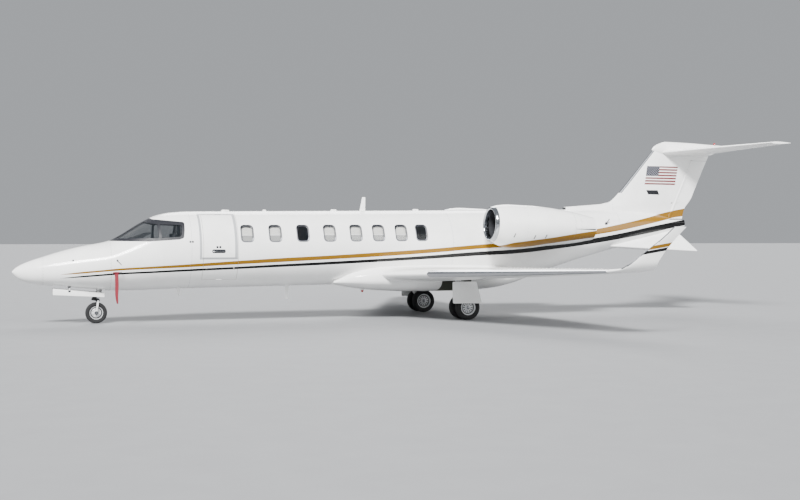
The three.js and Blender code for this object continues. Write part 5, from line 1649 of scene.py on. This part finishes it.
# Nose door: its panel and liner, then the arm, foot, two tabs and link of its hinge
NOSE_DOOR = [(0.81, 0.764), (1.865, 0.66), (1.865, 0.57), (0.81, 0.63)]
NOSE_DOOR_LINER = [(0.87, 0.742), (1.83, 0.65), (1.83, 0.592), (0.87, 0.648)]
for name, sign in SIDES:
    parts = [
        plate(white, rounded(NOSE_DOOR, 0.018), sign, 0.184, 0.2, 0.005, 3),
        plate(gear_enamel, rounded(NOSE_DOOR_LINER, 0.015), sign, 0.178, 0.1845, 0.002),
        plate(gear_enamel, rectangle(1.72, 1.742, 0.634, 0.9), sign, 0.15, 0.17, 0.005),
        plate(gear_enamel, rectangle(1.705, 1.757, 0.614, 0.654), sign, 0.15, 0.18, 0.004),
        plate(surround, rectangle(1.12, 1.17, 0.778, 0.814), sign, 0.162, 0.21, 0.006),
        plate(surround, rectangle(1.12, 1.17, 0.69, 0.726), sign, 0.19, 0.21, 0.006),
        plate(gear_enamel, rectangle(1.132, 1.158, 0.708, 0.796), sign, 0.196, 0.206, 0.003),
    ]
    assembly("nose_gear_door_panel_" + name, parts, "white_paint", "nose_gear_door_" + name)

# Main gear: a trailing link with its shock strut, the twin axle with brakes, and a plate on the leg
PLATE = [(9.23, 0.862), (9.8, 0.862), (9.94, 0.372), (9.24, 0.38)]


def main_leg(name, sign):
    """One main gear leg with its shock strut, brakes and hoses, and the plate outboard of it."""
    def at(x, out, z):
        return (x, sign * (TRACK + out), z)

    x0, z0 = MAIN_AXLE
    parts = rods(
        (gear_enamel, "post", at(9.5, 0, 0.47), at(9.5, 0, WELL["roof"]), 0.062, 0.058, 40),
        (gear_enamel, "knee", at(9.5, -0.085, 0.5), at(9.5, 0.085, 0.5), 0.05, 0.05, 32),
        (gear_enamel, "link", at(9.485, 0, 0.5), at(x0, 0, z0), 0.052, 0.046, 32),
        (gear_enamel, "axle_tube", at(x0, -0.085, z0), at(x0, 0.085, z0), 0.062, 0.062, 40),
        (steel, "axle", at(x0, -0.25, z0), at(x0, 0.25, z0), 0.0255),
        (gear_enamel, "shock_case", at(9.604, 0, 0.6), at(9.58, 0, 0.86), 0.04, 0.04, 32),
        (chrome, "shock_rod", at(9.634, 0, 0.31), at(9.604, 0, 0.6), 0.024, 0.024, 32),
        (steel, "shock_eye", at(x0 - 0.004, -0.04, 0.345), at(x0 - 0.004, 0.04, 0.345), 0.036),
        (gear_enamel, "cross", at(9.46, 0, 0.82), at(9.64, 0, 0.82), 0.04, 0.04, 32, 0.01),
        (steel, "brace", at(9.5, 0, 0.64), at(9.5, 0.3, 0.64), 0.024),
        (gear_enamel, "side_stay", at(9.5, 0, 0.78), at(9.52, -0.5, 1.05), 0.026),
        (chrome, "retract_rod", at(9.47, -0.03, 0.9), at(9.42, -0.45, 1.04), 0.02),
    )
    for way in (-1, 1):
        near, far = sorted((way * 0.0885, way * 0.172))
        parts += rods((carbon_and_painted_shade, "stack", at(x0, near, z0), at(x0, far, z0), 0.096, 0.096, 40))
        tenon = box("tenon", at(-0.01, near + 0.012, 0.085), at(0.01, far - 0.012, 0.108), 0.002)
        tenons = around(tenon, 10, (0, 0, 0), (0, 1, 0), carbon_and_painted_shade)
        tenons.data.transform(Matrix.Translation((x0, 0, z0)))
        parts.append(tenons)
        parts += rods((steel, "carrier", at(x0, way * 0.07, z0), at(x0, way * 0.0895, z0), 0.105, 0.105, 40))
        hose = [
            at(9.5, way * 0.065, 0.86), at(9.49, way * 0.072, 0.66), at(9.52, way * 0.082, 0.5),
            at(9.575, way * 0.088, 0.42), at(x0 - 0.01, way * 0.082, z0 + 0.095)]
        parts.append(dressed(pipe("hose", hose, 0.0065, 8), seal))
    assembly("main_gear_leg_forging_" + name, parts, "grey_paint", "main_gear_leg_" + name)
    skins = [plate(white, rounded(PLATE, 0.035), sign, 1.7293, 1.747, 0.005, 3)]
    for z in (0.47, 0.6, 0.73):
        rib = rectangle(9.3, 9.79, z - 0.009, z + 0.009)
        skins.append(plate(gear_enamel, rib, sign, 1.7253, 1.731, 0.002))
    assembly("main_gear_plate_" + name, skins, "white_paint", "main_gear_door_" + name)


for name, sign in SIDES:
    main_leg(name, sign)

# Small fittings: the door's handle and steps, ports, lamps, grilles, wicks and fasteners


def plaque(name, outline, sign, near, far, low=0.35):
    """A thin plate with a side outline that follows the fuselage wall between two depths."""
    start = min(x for x, _ in outline) - 0.03
    end = max(x for x, _ in outline) + 0.03
    layer = band(name, start, end, near, far)
    return shade(common(layer, side_slab("outline", outline, sign, low, 1.3)))


def disc_outline(x, z, radius):
    """A round side outline."""
    angles = np.arange(20) * 2 * math.pi / 20
    return [(x + radius * math.cos(a), z + radius * math.sin(a)) for a in angles]


HANDLE = rectangle(4.048, 4.339, 1.508, 1.588)
GRIP = {"z": 1.547, "line": ((4.075, -0.002), (4.095, 0.007), (4.19, 0.009), (4.29, 0.007), (4.312, -0.002))}
LOCKS = {"x": (4.160, 4.222), "z": 1.636, "radius": 0.025}
handle = [dressed(plaque("pocket", rounded(HANDLE, 0.1, 8), -1, -0.0008, 0.006), surround)]
y = wall_y(4.2, GRIP["z"])
grip = pipe("grip", [(x, -(y + out), GRIP["z"]) for x, out in GRIP["line"]], 0.005, 8)
handle.append(dressed(grip, steel))
for x in LOCKS["x"]:
    lock = plaque("lock", disc_outline(x, LOCKS["z"], LOCKS["radius"]), -1, -0.0012, 0.006)
    handle.append(dressed(lock, surround))
assembly("door_handle", handle, "black_plastic", "cabin_door_upper", body="cabin_door_upper")

# Treads of the two steps: their ends in station, y and height
STEPS = [(3.931, 4.554, -0.76, -0.56, 1.18, 1.205), (3.931, 4.554, -0.79, -0.62, 1.34, 1.365)]
steps = []
for x0, x1, y0, y1, z0, z1 in STEPS:
    steps.append(dressed(box("tread", (x0, y0, z0), (x1, y1, z1), 0.005), steel))
    strip = box("strip", (x0 + 0.03, y0 + 0.012, z1 - 0.0005), (x0 + 0.045, y1 - 0.012, z1 + 0.0025), 0.001)
    steps.append(in_row(strip, 19, ((x1 - x0 - 0.075) / 18, 0, 0), seal))
for x in (3.945, 4.53):
    cheek = [(-0.55, 1.17), (-0.78, 1.17), (-0.8, 1.37), (-0.64, 1.37)]
    steps.append(dressed(soften(slab("cheek", cheek, "x", x - 0.006, x + 0.006), 0.002), lining))
assembly("cabin_steps", steps, "steel", "cabin_door_lower", body="cabin_door_lower")

# Air data: static ports and a vane on each side of the nose
PORTS = ((3.59, 1.75, 0.022), (3.642, 1.75, 0.022), (1.21, 1.36, 0.018))
VANE = {"root": (2.09, 1.36), "line": ((2.08, 0.008, 1.36), (2.12, 0.012, 1.325), (2.17, 0.016, 1.27))}
ports = []
for _, sign in SIDES:
    for x, z, radius in PORTS:
        port = plaque("port", disc_outline(x, z, radius), sign, -0.001, 0.006, 0.2)
        ports.append(dressed(port, panel_grey))
    x, z = VANE["root"]
    y = wall_y(x, z)
    ports += rods((steel, "vane_root", (x, sign * (y - 0.01), z), (x, sign * (y + 0.012), z), 0.02))
    vane = [(x, sign * (y + out), z) for x, out, z in VANE["line"]]
    ports.append(dressed(pipe("vane", vane, 0.008, 10), surround))
assembly("air_data_ports", ports, "steel", "cockpit_shell")

# Beacons and lamps: lenses on round bases
BEACON = [
    (0.0, 0.0), (0.0, 0.042), (0.012, 0.042), (0.014, 0.037), (0.05, 0.034), (0.07, 0.022), (0.078, 0.0),
]


def beacon(place, way, scale, finish):
    """A lamp dome on its base that points up or down."""
    axis = along(place, Vector(place) + Vector((0, 0, way)))
    lens = turned("lens", [(a * scale, r * scale) for a, r in BEACON], "x", 32, axis)
    paint_where(dressed(lens, finish), steel, lambda x, y, z, n: abs(z - place[2]) < 0.013 * scale)
    return lens


BELLY_BEACON = 7.67
top_beacon = beacon((17.23, 0, 4.238), 1, 0.8, red_lens)
low_beacon = beacon((BELLY_BEACON, 0, keel(BELLY_BEACON) - 0.13), -1, 0.9, red_lens)
pedestal = bar("pedestal", (BELLY_BEACON, 0, 0.7), (BELLY_BEACON, 0, 0.628), 0.045)
lamp = turned("tail_lamp", [(0, 0), (0, 0.02), (0.03, 0.018), (0.045, 0.008), (0.048, 0)], "x", 24,
              Matrix.Translation((17.395, 0, 4.18)))
lamps = [top_beacon, low_beacon, dressed(pedestal, white), dressed(lamp, clear_lens)]
assembly("beacons_and_tail_lamp", lamps, "glass", "tailplane", "belly_fairing", angle=40)

# Cooling grille and vent on both faces of the fin, the air inlet ahead of it, and the tail probes
GRILLE = {"x": (15.209, 15.539), "z": (2.94, 3.05), "blades": 7, "lean": 0.055}
TAIL_PROBE = ((13.745, -0.02, 2.18), (13.76, 0.025, 2.19), (13.845, 0.03, 2.3))


def fin_y(x, z):
    """Half width of the fin's surface at a station and height."""
    lead, trail = fin_lead(z), fin_trail(z)
    return half_thickness((x - lead) / (trail - lead), 2 * fin_half(z) / (trail - lead)) * (trail - lead)


fin_parts = []
for _, sign in SIDES:
    x0, x1 = GRILLE["x"]
    (z0, z1), lean, gaps = GRILLE["z"], GRILLE["lean"], GRILLE["blades"] - 1
    y = max(fin_y(x0, z0), fin_y(x0 - lean, z1), fin_y(x0 + 0.15, z0))
    outline = rounded([(x0, z0), (x1, z0), (x1 - lean, z1), (x0 - lean, z1)], 0.012)
    fin_parts.append(plate(panel_grey, outline, sign, y - 0.02, y + 0.0015, 0.001))
    low, high = (x0 + 0.015, sign * (y + 0.001), z0 + 0.010), (x1 - 0.015, sign * (y + 0.006), z0 + 0.016)
    step = (-lean * 0.75 / gaps, 0, (z1 - z0 - 0.026) / gaps)
    fin_parts.append(in_row(box("blade", low, high, 0.001), GRILLE["blades"], step, surround))
    y = wall_y(13.76, 2.19)
    probe = [(x, sign * (y + out), z) for x, out, z in TAIL_PROBE]
    fin_parts.append(dressed(pipe("probe", probe, 0.011, 10), surround))
    foot = [(13.725, 2.17), (13.79, 2.17), (13.8, 2.225), (13.76, 2.225)]
    fin_parts.append(dressed(side_slab("foot", rounded(foot, 0.01), sign, y - 0.03, y + 0.028), surround))
    vent = rounded(rectangle(15.86, 15.95, 2.722, 2.744), 0.008)
    y = fin_y(15.9, 2.73)
    fin_parts.append(dressed(side_slab("vent", vent, sign, y - 0.012, y + 0.001), surround))
inlet = rounded(rectangle(-0.062, 0.062, 2.535, 2.594), 0.02)
fin_parts.append(dressed(slab("inlet", inlet, "x", 12.874, 12.9), seal))
assembly("fin_fittings", fin_parts, "steel", "fin")

# Static wicks, vortex generators and fasteners
WICKS = (
    ("aileron", WING_ROOT, WING_TIP, (5.0, 5.5, 6.0), 0.004),
    ("elevator", (0.0, *STAB_ROOT[1:]), STAB_TIP, (0.9, 1.35, 1.8), 0.0),
)
HEAD = 0.005

for name, sign in SIDES:
    for surface, root, tip, places, drop in WICKS:
        wicks = []
        for place in places:
            y, z, _, trail, _ = between(root, tip, place)
            ends = (trail - 0.01, sign * y, z), (trail + 0.11, sign * y, z - drop)
            wicks.append(dressed(bar("wick", *ends, 0.0035, 0.002, 8, 0.0005), seal))
        body = surface + "_" + name
        piece(joined(surface + "_wicks_" + name, *wicks), None, "black_plastic", body, body=body)

    ends = []
    for place in (3.6, 6.3):
        y, z, lead, trail, ratio = between(WING_ROOT, WING_TIP, place)
        chord = trail - lead
        ends.append(Vector((lead + 0.3 * chord, sign * y, z + half_thickness(0.3, ratio) * chord)))
    a, b = ends
    tab = [(a.x - 0.012, a.z - 0.003), (a.x + 0.016, a.z - 0.003), (a.x + 0.016, a.z + 0.012)]
    tab = soften(side_slab("tab", tab, sign, abs(a.y) - 0.001, abs(a.y) + 0.001), 0.0004)
    tabs = in_row(tab, 28, tuple((b - a) / 27), white)
    piece(shade(tabs, 30), None, "white_paint", "wing_" + name)
    tabs.name = "vortex_generators_" + name

    heads = []
    for place in np.linspace(0.95, 6.55, 48):
        y, z, lead, trail, ratio = between(WING_ROOT, WING_TIP, place)
        for f, face in ((0.16, 1), (0.16, -1), (0.68, 1)):
            x = lead + f * (trail - lead)
            lift = half_thickness(f, ratio) * (trail - lead) + TRAILING_HALF * f
            slope = (half_thickness(f + 0.01, ratio) - half_thickness(f - 0.01, ratio)) / 0.02
            over_well = WELL["front"] - 0.05 < x < WELL["aft"] + 0.05 and y < WELL["outer"] + 0.05
            if face > 0 or not over_well:
                heads.append(((x, sign * y, z + face * lift), Vector((-slope, 0, face)).normalized()))
    piece(studs("wing_fasteners_" + name, heads, HEAD, steel), None, "steel", "wing_" + name)


def ring_heads(station, count, skip=None):
    """Fastener places round the fuselage at one station, with their outward directions."""
    found = []
    ring = body_ring(station, sides=count)
    normal, _ = body_field(ring + np.array([NOSE_X, 0, 0]))
    for point, out_dir in zip(ring, normal):
        if skip is None or not skip(point):
            found.append((point, out_dir))
    return found


def under_belly(point):
    """Picks places low under the belly fairing, and right on the crown."""
    return point[2] < 1.3 or 2.45 < point[2]


heads = ring_heads(RADOME_END + 0.022, 28)
heads += ring_heads(NOSE_END - 0.02, 48, lambda p: abs(p[1]) < 0.2 and p[2] < 0.9)
piece(studs("nose_fasteners", heads, HEAD, steel), None, "steel", "nose_section")
heads = ring_heads(9.62, 64, under_belly) + ring_heads(14.18, 44, lambda p: p[2] > 2.4)
piece(studs("aft_fasteners", heads, HEAD, steel), None, "steel", "aft_fuselage")

# Cooling louvres, a tapered slot and fasteners on each cowling
LOUVRE = [(-0.02, -0.045), (0.0, -0.045), (0.022, 0.045), (0.002, 0.045)]
for name, sign in SIDES:
    place = engine_place(sign)
    marks = []
    for a, angle in ((0.41, -29), (0.915, -32), (1.2, -31)):
        turn = math.radians(angle)
        out = Vector((0, sign * math.cos(turn), math.sin(turn)))
        louvre = slab("louvre", [(a + q, w) for q, w in rounded(LOUVRE, 0.006, 3)], "z", -0.012, 0.0025)
        roll = Matrix.Rotation(math.atan2(out.z, out.y) - math.pi / 2, 4, "X")
        lift = Matrix.Translation(out * cowl_outer(a))
        louvre.data.transform(lift @ roll @ Matrix.Diagonal((1, -sign, 1, 1)))
        marks.append(dressed(chinned(clean(louvre)), surround))
    rings = []
    for a in np.linspace(1.97, 2.54, 14):
        radius, tall = cowl_outer(a), 0.003 + 0.011 * (a - 1.97) / 0.57
        ring = []
        for lift, out in ((-tall, -0.01), (tall, -0.01), (tall, 0.0015), (-tall, 0.0015)):
            turn = math.radians(-5.5) + lift / radius
            ring.append((a, sign * (radius + out) * math.cos(turn), (radius + out) * math.sin(turn)))
        rings.append(ring)
    marks.append(dressed(skin("slot", rings), surround))
    for mark in marks:
        mark.data.transform(place)
    assembly("cowling_louvres_" + name, marks, "black_plastic", "nacelle_" + name)
    heads = []
    for a in (0.72, 1.96):
        for turn in np.arange(40) * 2 * math.pi / 40:
            radius = cowl_outer(a)
            low = chin_drop(a) * min(math.sin(turn), 0) ** 2
            point = place @ Vector((a + NOSE_X, radius * math.cos(turn), radius * math.sin(turn) - low))
            if point.y * sign > ENGINE["y"] - 0.34:
                out_dir = place.to_3x3() @ Vector((0, math.cos(turn), math.sin(turn)))
                heads.append(((point.x - NOSE_X, point.y, point.z), tuple(out_dir)))
    piece(studs("cowling_fasteners_" + name, heads, HEAD, steel), None, "steel", "nacelle_" + name)

# Cockpit and cabin: what shows through the glass and the open door
SEAT_ROWS = ((5.18, -1), (6.33, 1), (7.06, -1), (8.21, 1))
SEAT_Y, SEAT_HALF, SEAT_PIVOT, SEAT_LEAN = 0.355, 0.19, 0.38, 7
PILOT_X, PILOT_Y = 3.08, 0.32


def cabin_rise(x):
    """Height of the cabin floor, which climbs with the fuselage."""
    return 1.06 + (x + 0.2 - 4.7) * 0.0121


def swollen(name, low, high, cap=0.022):
    """A pad: a rounded block, remeshed fine and blown up by cloth pressure as far as the cap allows."""
    obj = box(name, [a + 0.018 for a in low], [b - 0.018 for b in high], 0.0)
    soften(obj, 0.035, 5)
    step = obj.modifiers.new("even", "REMESH")
    step.mode, step.voxel_size = "VOXEL", 0.0125
    bake(obj)
    start = read(obj.data.vertices, "co", 3)
    cloth = obj.modifiers.new("cloth", "CLOTH")
    cloth.settings.use_pressure = True
    cloth.settings.uniform_pressure_force = 4.0
    cloth.settings.effector_weights.gravity = 0.0
    cloth.settings.quality = 5
    cloth.point_cache.frame_start, cloth.point_cache.frame_end = 1, 20
    for number in range(1, 21):
        bpy.context.scene.frame_set(number)
    graph = bpy.context.evaluated_depsgraph_get()
    moved = read(obj.evaluated_get(graph).to_mesh().vertices, "co", 3)
    obj.evaluated_get(graph).to_mesh_clear()
    obj.modifiers.clear()
    bpy.context.scene.frame_set(1)
    travel = moved - start
    far = np.linalg.norm(travel, axis=1)
    travel *= np.minimum(1, cap / np.maximum(far, 1e-9))[:, None]
    obj.data.vertices.foreach_set("co", (start + travel).ravel())
    obj.data.update()
    return obj


def seat_pads():
    """One seat about its own centre on the floor, facing -x: cushion, upright pads and seams."""
    half = SEAT_HALF - 0.002
    cushion = swollen("cushion", (-0.26, -half, 0.19), (0.24, half, 0.40))
    back = swollen("back", (-0.07, -half, SEAT_PIVOT), (0.07, half, 0.86), 0.018)
    head = swollen("headrest", (-0.05, -0.13, 0.86), (0.05, 0.13, 1.015), 0.012)
    recline = Matrix.Rotation(math.radians(SEAT_LEAN), 4, "Y") @ Matrix.Translation((0, 0, -SEAT_PIVOT))
    lean = Matrix.Translation((0.2, 0, SEAT_PIVOT)) @ recline
    upright = joined("upright", back, head)
    upright.data.transform(lean @ HOME)
    seams = []
    for x in (-0.1, 0.06):
        seams.append(pipe("seam", [(x, y * half, 0.405) for y in (-0.8, -0.3, 0.3, 0.8)], 0.0035, 6))
    for part in (cushion, *seams):
        part.data.transform(HOME)
    return cushion, upright, seams


def seat_frame():
    """The seat's plinth, side shells and arm rests about its own centre, facing -x."""
    half = SEAT_HALF - 0.004
    parts = blocks(
        (panel_grey, "plinth", (-0.2, -0.15, 0.0), (0.2, 0.15, 0.1), 0.01),
        (lining, "pan", (-0.25, -half, 0.1), (0.25, half, 0.195), 0.012),
        (lining, "shell", (0.262, -0.18, 0.12), (0.286, 0.18, 0.8), 0.01),
    )
    arm = rounded([(-0.22, 0.39), (0.22, 0.39), (0.22, 0.57), (-0.2, 0.55)], 0.04)
    for _, sign in SIDES:
        parts.append(plate(hide, arm, sign, SEAT_HALF - 0.035, SEAT_HALF + 0.02, 0.014, 3))
    whole = joined("frame", *parts)
    whole.data.transform(HOME)
    return whole


def put(obj, x, y, z, facing, scale=1.0):
    """A copy of a shape made about the origin, put at its place; facing 1 looks forward, -1 aft."""
    twin = copy_of(obj, "seat")
    turn = Matrix.Identity(4) if facing > 0 else Matrix.Rotation(math.pi, 4, "Z")
    size = Matrix.Diagonal((scale, scale, scale, 1))
    twin.data.transform(Matrix.Translation((x + NOSE_X, y, z)) @ turn @ size)
    return twin


cushion, upright, seams = seat_pads()
frame_part = seat_frame()
dressed(cushion, hide)
dressed(upright, hide)
for seam in seams:
    dressed(seam, surround)
for name, sign in SIDES:
    places = [(x, sign * SEAT_Y, cabin_rise(x), facing) for x, facing in SEAT_ROWS]
    pads = shade(joined("cabin_seat_cushions_" + name, *[put(cushion, *spot) for spot in places]), 60)
    piece(pads, hide, "leather", "cabin_seats_" + name)
    backs = shade(joined("cabin_seat_backs_" + name, *[put(upright, *spot) for spot in places]), 60)
    piece(backs, hide, "leather", "cabin_seats_" + name)
    hard = [put(part, *spot) for spot in places for part in (frame_part, *seams)]
    ledge = slab("ledge", rectangle(sign * 0.53, sign * 0.59, 1.2, 1.49), "x", 4.95, 8.45)
    hard.append(soften(dressed(ledge, veneer), 0.012, 3))
    assembly("cabin_seat_frames_" + name, hard, "leather", "cabin_seats_" + name)

    spot = (PILOT_X, sign * PILOT_Y, 1.02, 1, 0.92)
    pads = shade(joined("pilot_seat_pads_" + name, put(cushion, *spot), put(upright, *spot)), 60)
    piece(pads, dark_hide, "leather", "pilot_seat_" + name)
    assembly("pilot_seat_frame_" + name, [put(frame_part, *spot)], "leather", "pilot_seat_" + name)
discard(cushion, upright, frame_part, *seams)

# Instrument panel: hood, displays, pedestal and control wheels
PANEL = [(2.19, 1.18), (2.48, 1.18), (2.48, 1.70), (2.34, 1.74), (2.22, 1.69)]
HOOD = [
    (2.2, 1.72), (2.364, 1.815), (2.534, 1.865), (2.7, 1.925), (2.78, 1.95), (2.815, 1.945), (2.79, 1.915),
    (2.7, 1.88), (2.6, 1.80), (2.49, 1.72), (2.24, 1.70),
]
YOKE = ((-0.13, 1.47), (-0.14, 1.4), (-0.09, 1.36), (0, 1.365), (0.09, 1.36), (0.14, 1.4), (0.13, 1.47))
SCREEN_Y, YOKE_Y, LEVER_Y = (-0.24, 0.0, 0.24), (-0.3, 0.3), (-0.04, 0.04)
hood = soften(slab("hood", HOOD, "y", -0.55, 0.55), 0.004)
common(hood, body_solid("inner", 2.1, 3.4, WALL + 0.012))
console = [
    dressed(soften(slab("panel", PANEL, "y", -0.385, 0.385), 0.008), panel_grey),
    dressed(hood, panel_grey),
]
for y in SCREEN_Y:
    console += blocks(
        (surround, "bezel", (2.476, y - 0.108, 1.44), (2.492, y + 0.108, 1.66), 0.006),
        (display, "screen", (2.49, y - 0.093, 1.455), (2.4945, y + 0.093, 1.645), 0.002),
    )
for y in YOKE_Y:
    console.append(dressed(pipe("column", [(2.46, y, 1.36), (2.6, y, 1.37)], 0.018), seal))
    console.append(dressed(pipe("control_wheel", [(2.6, y + out, z) for out, z in YOKE], 0.014), seal))
console += blocks((panel_grey, "pedestal", (2.33, -0.13, 0.93), (2.62, 0.13, 1.3), 0.015))
for y in LEVER_Y:
    console.append(dressed(pipe("lever", [(2.5, y, 1.29), (2.52, y, 1.4)], 0.008, 8), steel))
    console += rods((seal, "grip", (2.52, y - 0.02, 1.405), (2.52, y + 0.02, 1.405), 0.014))
knob = bar("knob", (2.488, -0.3, 1.41), (2.5, -0.3, 1.41), 0.01, 0.01, 12, 0.001)
console.append(in_row(knob, 13, (0, 0.05, 0), steel))
assembly("instrument_console", console, "black_plastic", "instrument_panel")

bulkhead = body_solid("bulkhead", 3.455, 3.475, WALL + 0.004)
carve(bulkhead, slab("aisle", rounded(rectangle(-0.25, 0.25, 0.0, 2.2), 0.06), "x", 3.3, 3.6),
      slab("lower", rectangle(-1.0, 1.0, 0.0, 1.055), "x", 3.3, 3.6))
piece(shade(bulkhead, 35), veneer, "black_plastic", "cockpit_shell")

# The cabin floor keeps its CAD solid, in carpet; pieces made here stand for every other solid
dressed(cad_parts["cabin_floor"], carpet)

# Pitot covers with their ribbons
COVER = {"x": (1.995, 2.125), "y": 0.75, "z": 1.105}
SLEEVE = [
    (0, 0), (0.0, 0.008), (0.012, 0.014), (0.06, 0.0165), (0.1, 0.0145), (0.12, 0.016), (0.13, 0.0135),
    (0.13, 0),
]
RIBBON = {
    "x": 2.068, "half": 0.0375, "low": 0.455, "right_low": 0.735, "thick": 0.0012, "steps": 60, "across": 10,
}


def ribbon(name, sign, low):
    """A strip of cloth that hangs from the cover, turns slowly and swings a little."""
    steps, across = RIBBON["steps"], RIBBON["across"]
    top = COVER["z"] - 0.012
    length = top - low
    rows = []
    for i in range(steps + 1):
        t = i / steps
        turn = math.radians(8 + 62 * t * t)
        sway = 0.012 * math.sin(2.2 * math.pi * t) * t
        row = []
        for k in range(across + 1):
            u = 2 * k / across - 1
            curl = 0.004 * (1 - u * u) * math.sin(3 * math.pi * t)
            along_x = u * RIBBON["half"] * math.cos(turn) - curl * math.sin(turn)
            along_y = u * RIBBON["half"] * math.sin(turn) + curl * math.cos(turn)
            x = RIBBON["x"] + along_x + sway * 0.6 + 0.012 * t
            row.append((x, sign * (COVER["y"] + along_y + sway), top - t * length))
        rows.append(row)
    wide = across + 1
    faces = [(i * wide + k, i * wide + k + 1, (i + 1) * wide + k + 1, (i + 1) * wide + k)
             for i in range(steps) for k in range(across)]
    sheet = raw(name, [p for row in rows for p in row], faces)
    wall = sheet.modifiers.new("wall", "SOLIDIFY")
    wall.thickness, wall.offset = RIBBON["thick"], 0
    return clean(bake(sheet)), length


for name, sign, low in (("left", -1, RIBBON["low"]), ("right", 1, RIBBON["right_low"])):
    (x0, x1), y, z = COVER["x"], COVER["y"], COVER["z"]
    sleeve = turned("sleeve", SLEEVE, "x", 24, Matrix.Translation((x0, sign * y, z)))
    root = wall_y(2.2, 1.109) - 0.01
    line = ((x1 - 0.01, y, 0), (2.145, y - 0.01, 0.001), (2.165, y - 0.035, 0.004), (2.18, root, 0.004))
    mast = pipe("mast", [(x, sign * out, z + up) for x, out, up in line], 0.011)
    loop_place = Matrix.Translation((RIBBON["x"], sign * y, z))
    loop = turned("loop", rectangle(-0.005, 0.005, 0.016, 0.0185), "x", 24, loop_place)
    parts = [dressed(sleeve, nylon), dressed(mast, steel), dressed(loop, nylon)]
    cover = assembly("pitot_cover_sleeve_" + name, parts, "red_fabric", "pitot_cover_" + name, angle=40)
    strip, length = ribbon("pitot_cover_ribbon_" + name, sign, low)
    piece(shade(strip, 60), nylon, "red_fabric", "pitot_cover_" + name)

# Camera, light and floor

CAMERA = {"place": (-8.744, -24.731, 1.805), "pitch": 89.448, "yaw": -19.095, "lens": 50.22, "film": 36}
camera = placed("camera", bpy.data.cameras.new("camera"))
camera.location = CAMERA["place"]
camera.rotation_euler = (math.radians(CAMERA["pitch"]), 0, math.radians(CAMERA["yaw"]))
camera.data.lens, camera.data.sensor_width = CAMERA["lens"], CAMERA["film"]
bpy.context.scene.camera = camera


def soft_light(name, place, strength, spread):
    """A broad soft lamp far away in the direction of place."""
    lamp = placed(name, bpy.data.lights.new(name, "SUN"))
    lamp.data.energy, lamp.data.angle = strength, math.radians(spread)
    lamp.location = place
    lamp.rotation_euler = (-Vector(place)).to_track_quat("-Z", "Y").to_euler()
    return lamp


soft_light("key", (-11, -17, 17), 9.6, 14)
soft_light("fill", (14, -18, 9), 1.6, 40)
soft_light("back", (6, 20, 14), 1.6, 30)
world = bpy.data.worlds.new("studio")
world.use_nodes = True
sky = world.node_tree.nodes["Background"].inputs
sky["Color"].default_value, sky["Strength"].default_value = linear("#D9DDE2"), 0.6
bpy.context.scene.world = world

# Studio floor: plain pale grey, matt, far larger than the view
FLOOR_HALF = 400
floor_paint = plain("studio_floor", 0.75, 0.0, "#868789", "#8F9092", 0.5, 0.0)
corners = rectangle(-FLOOR_HALF, FLOOR_HALF, -FLOOR_HALF, FLOOR_HALF)
floor = raw("floor", [(x - NOSE_X, y, 0) for x, y in corners], [(0, 1, 2, 3)])
dressed(floor, floor_paint)
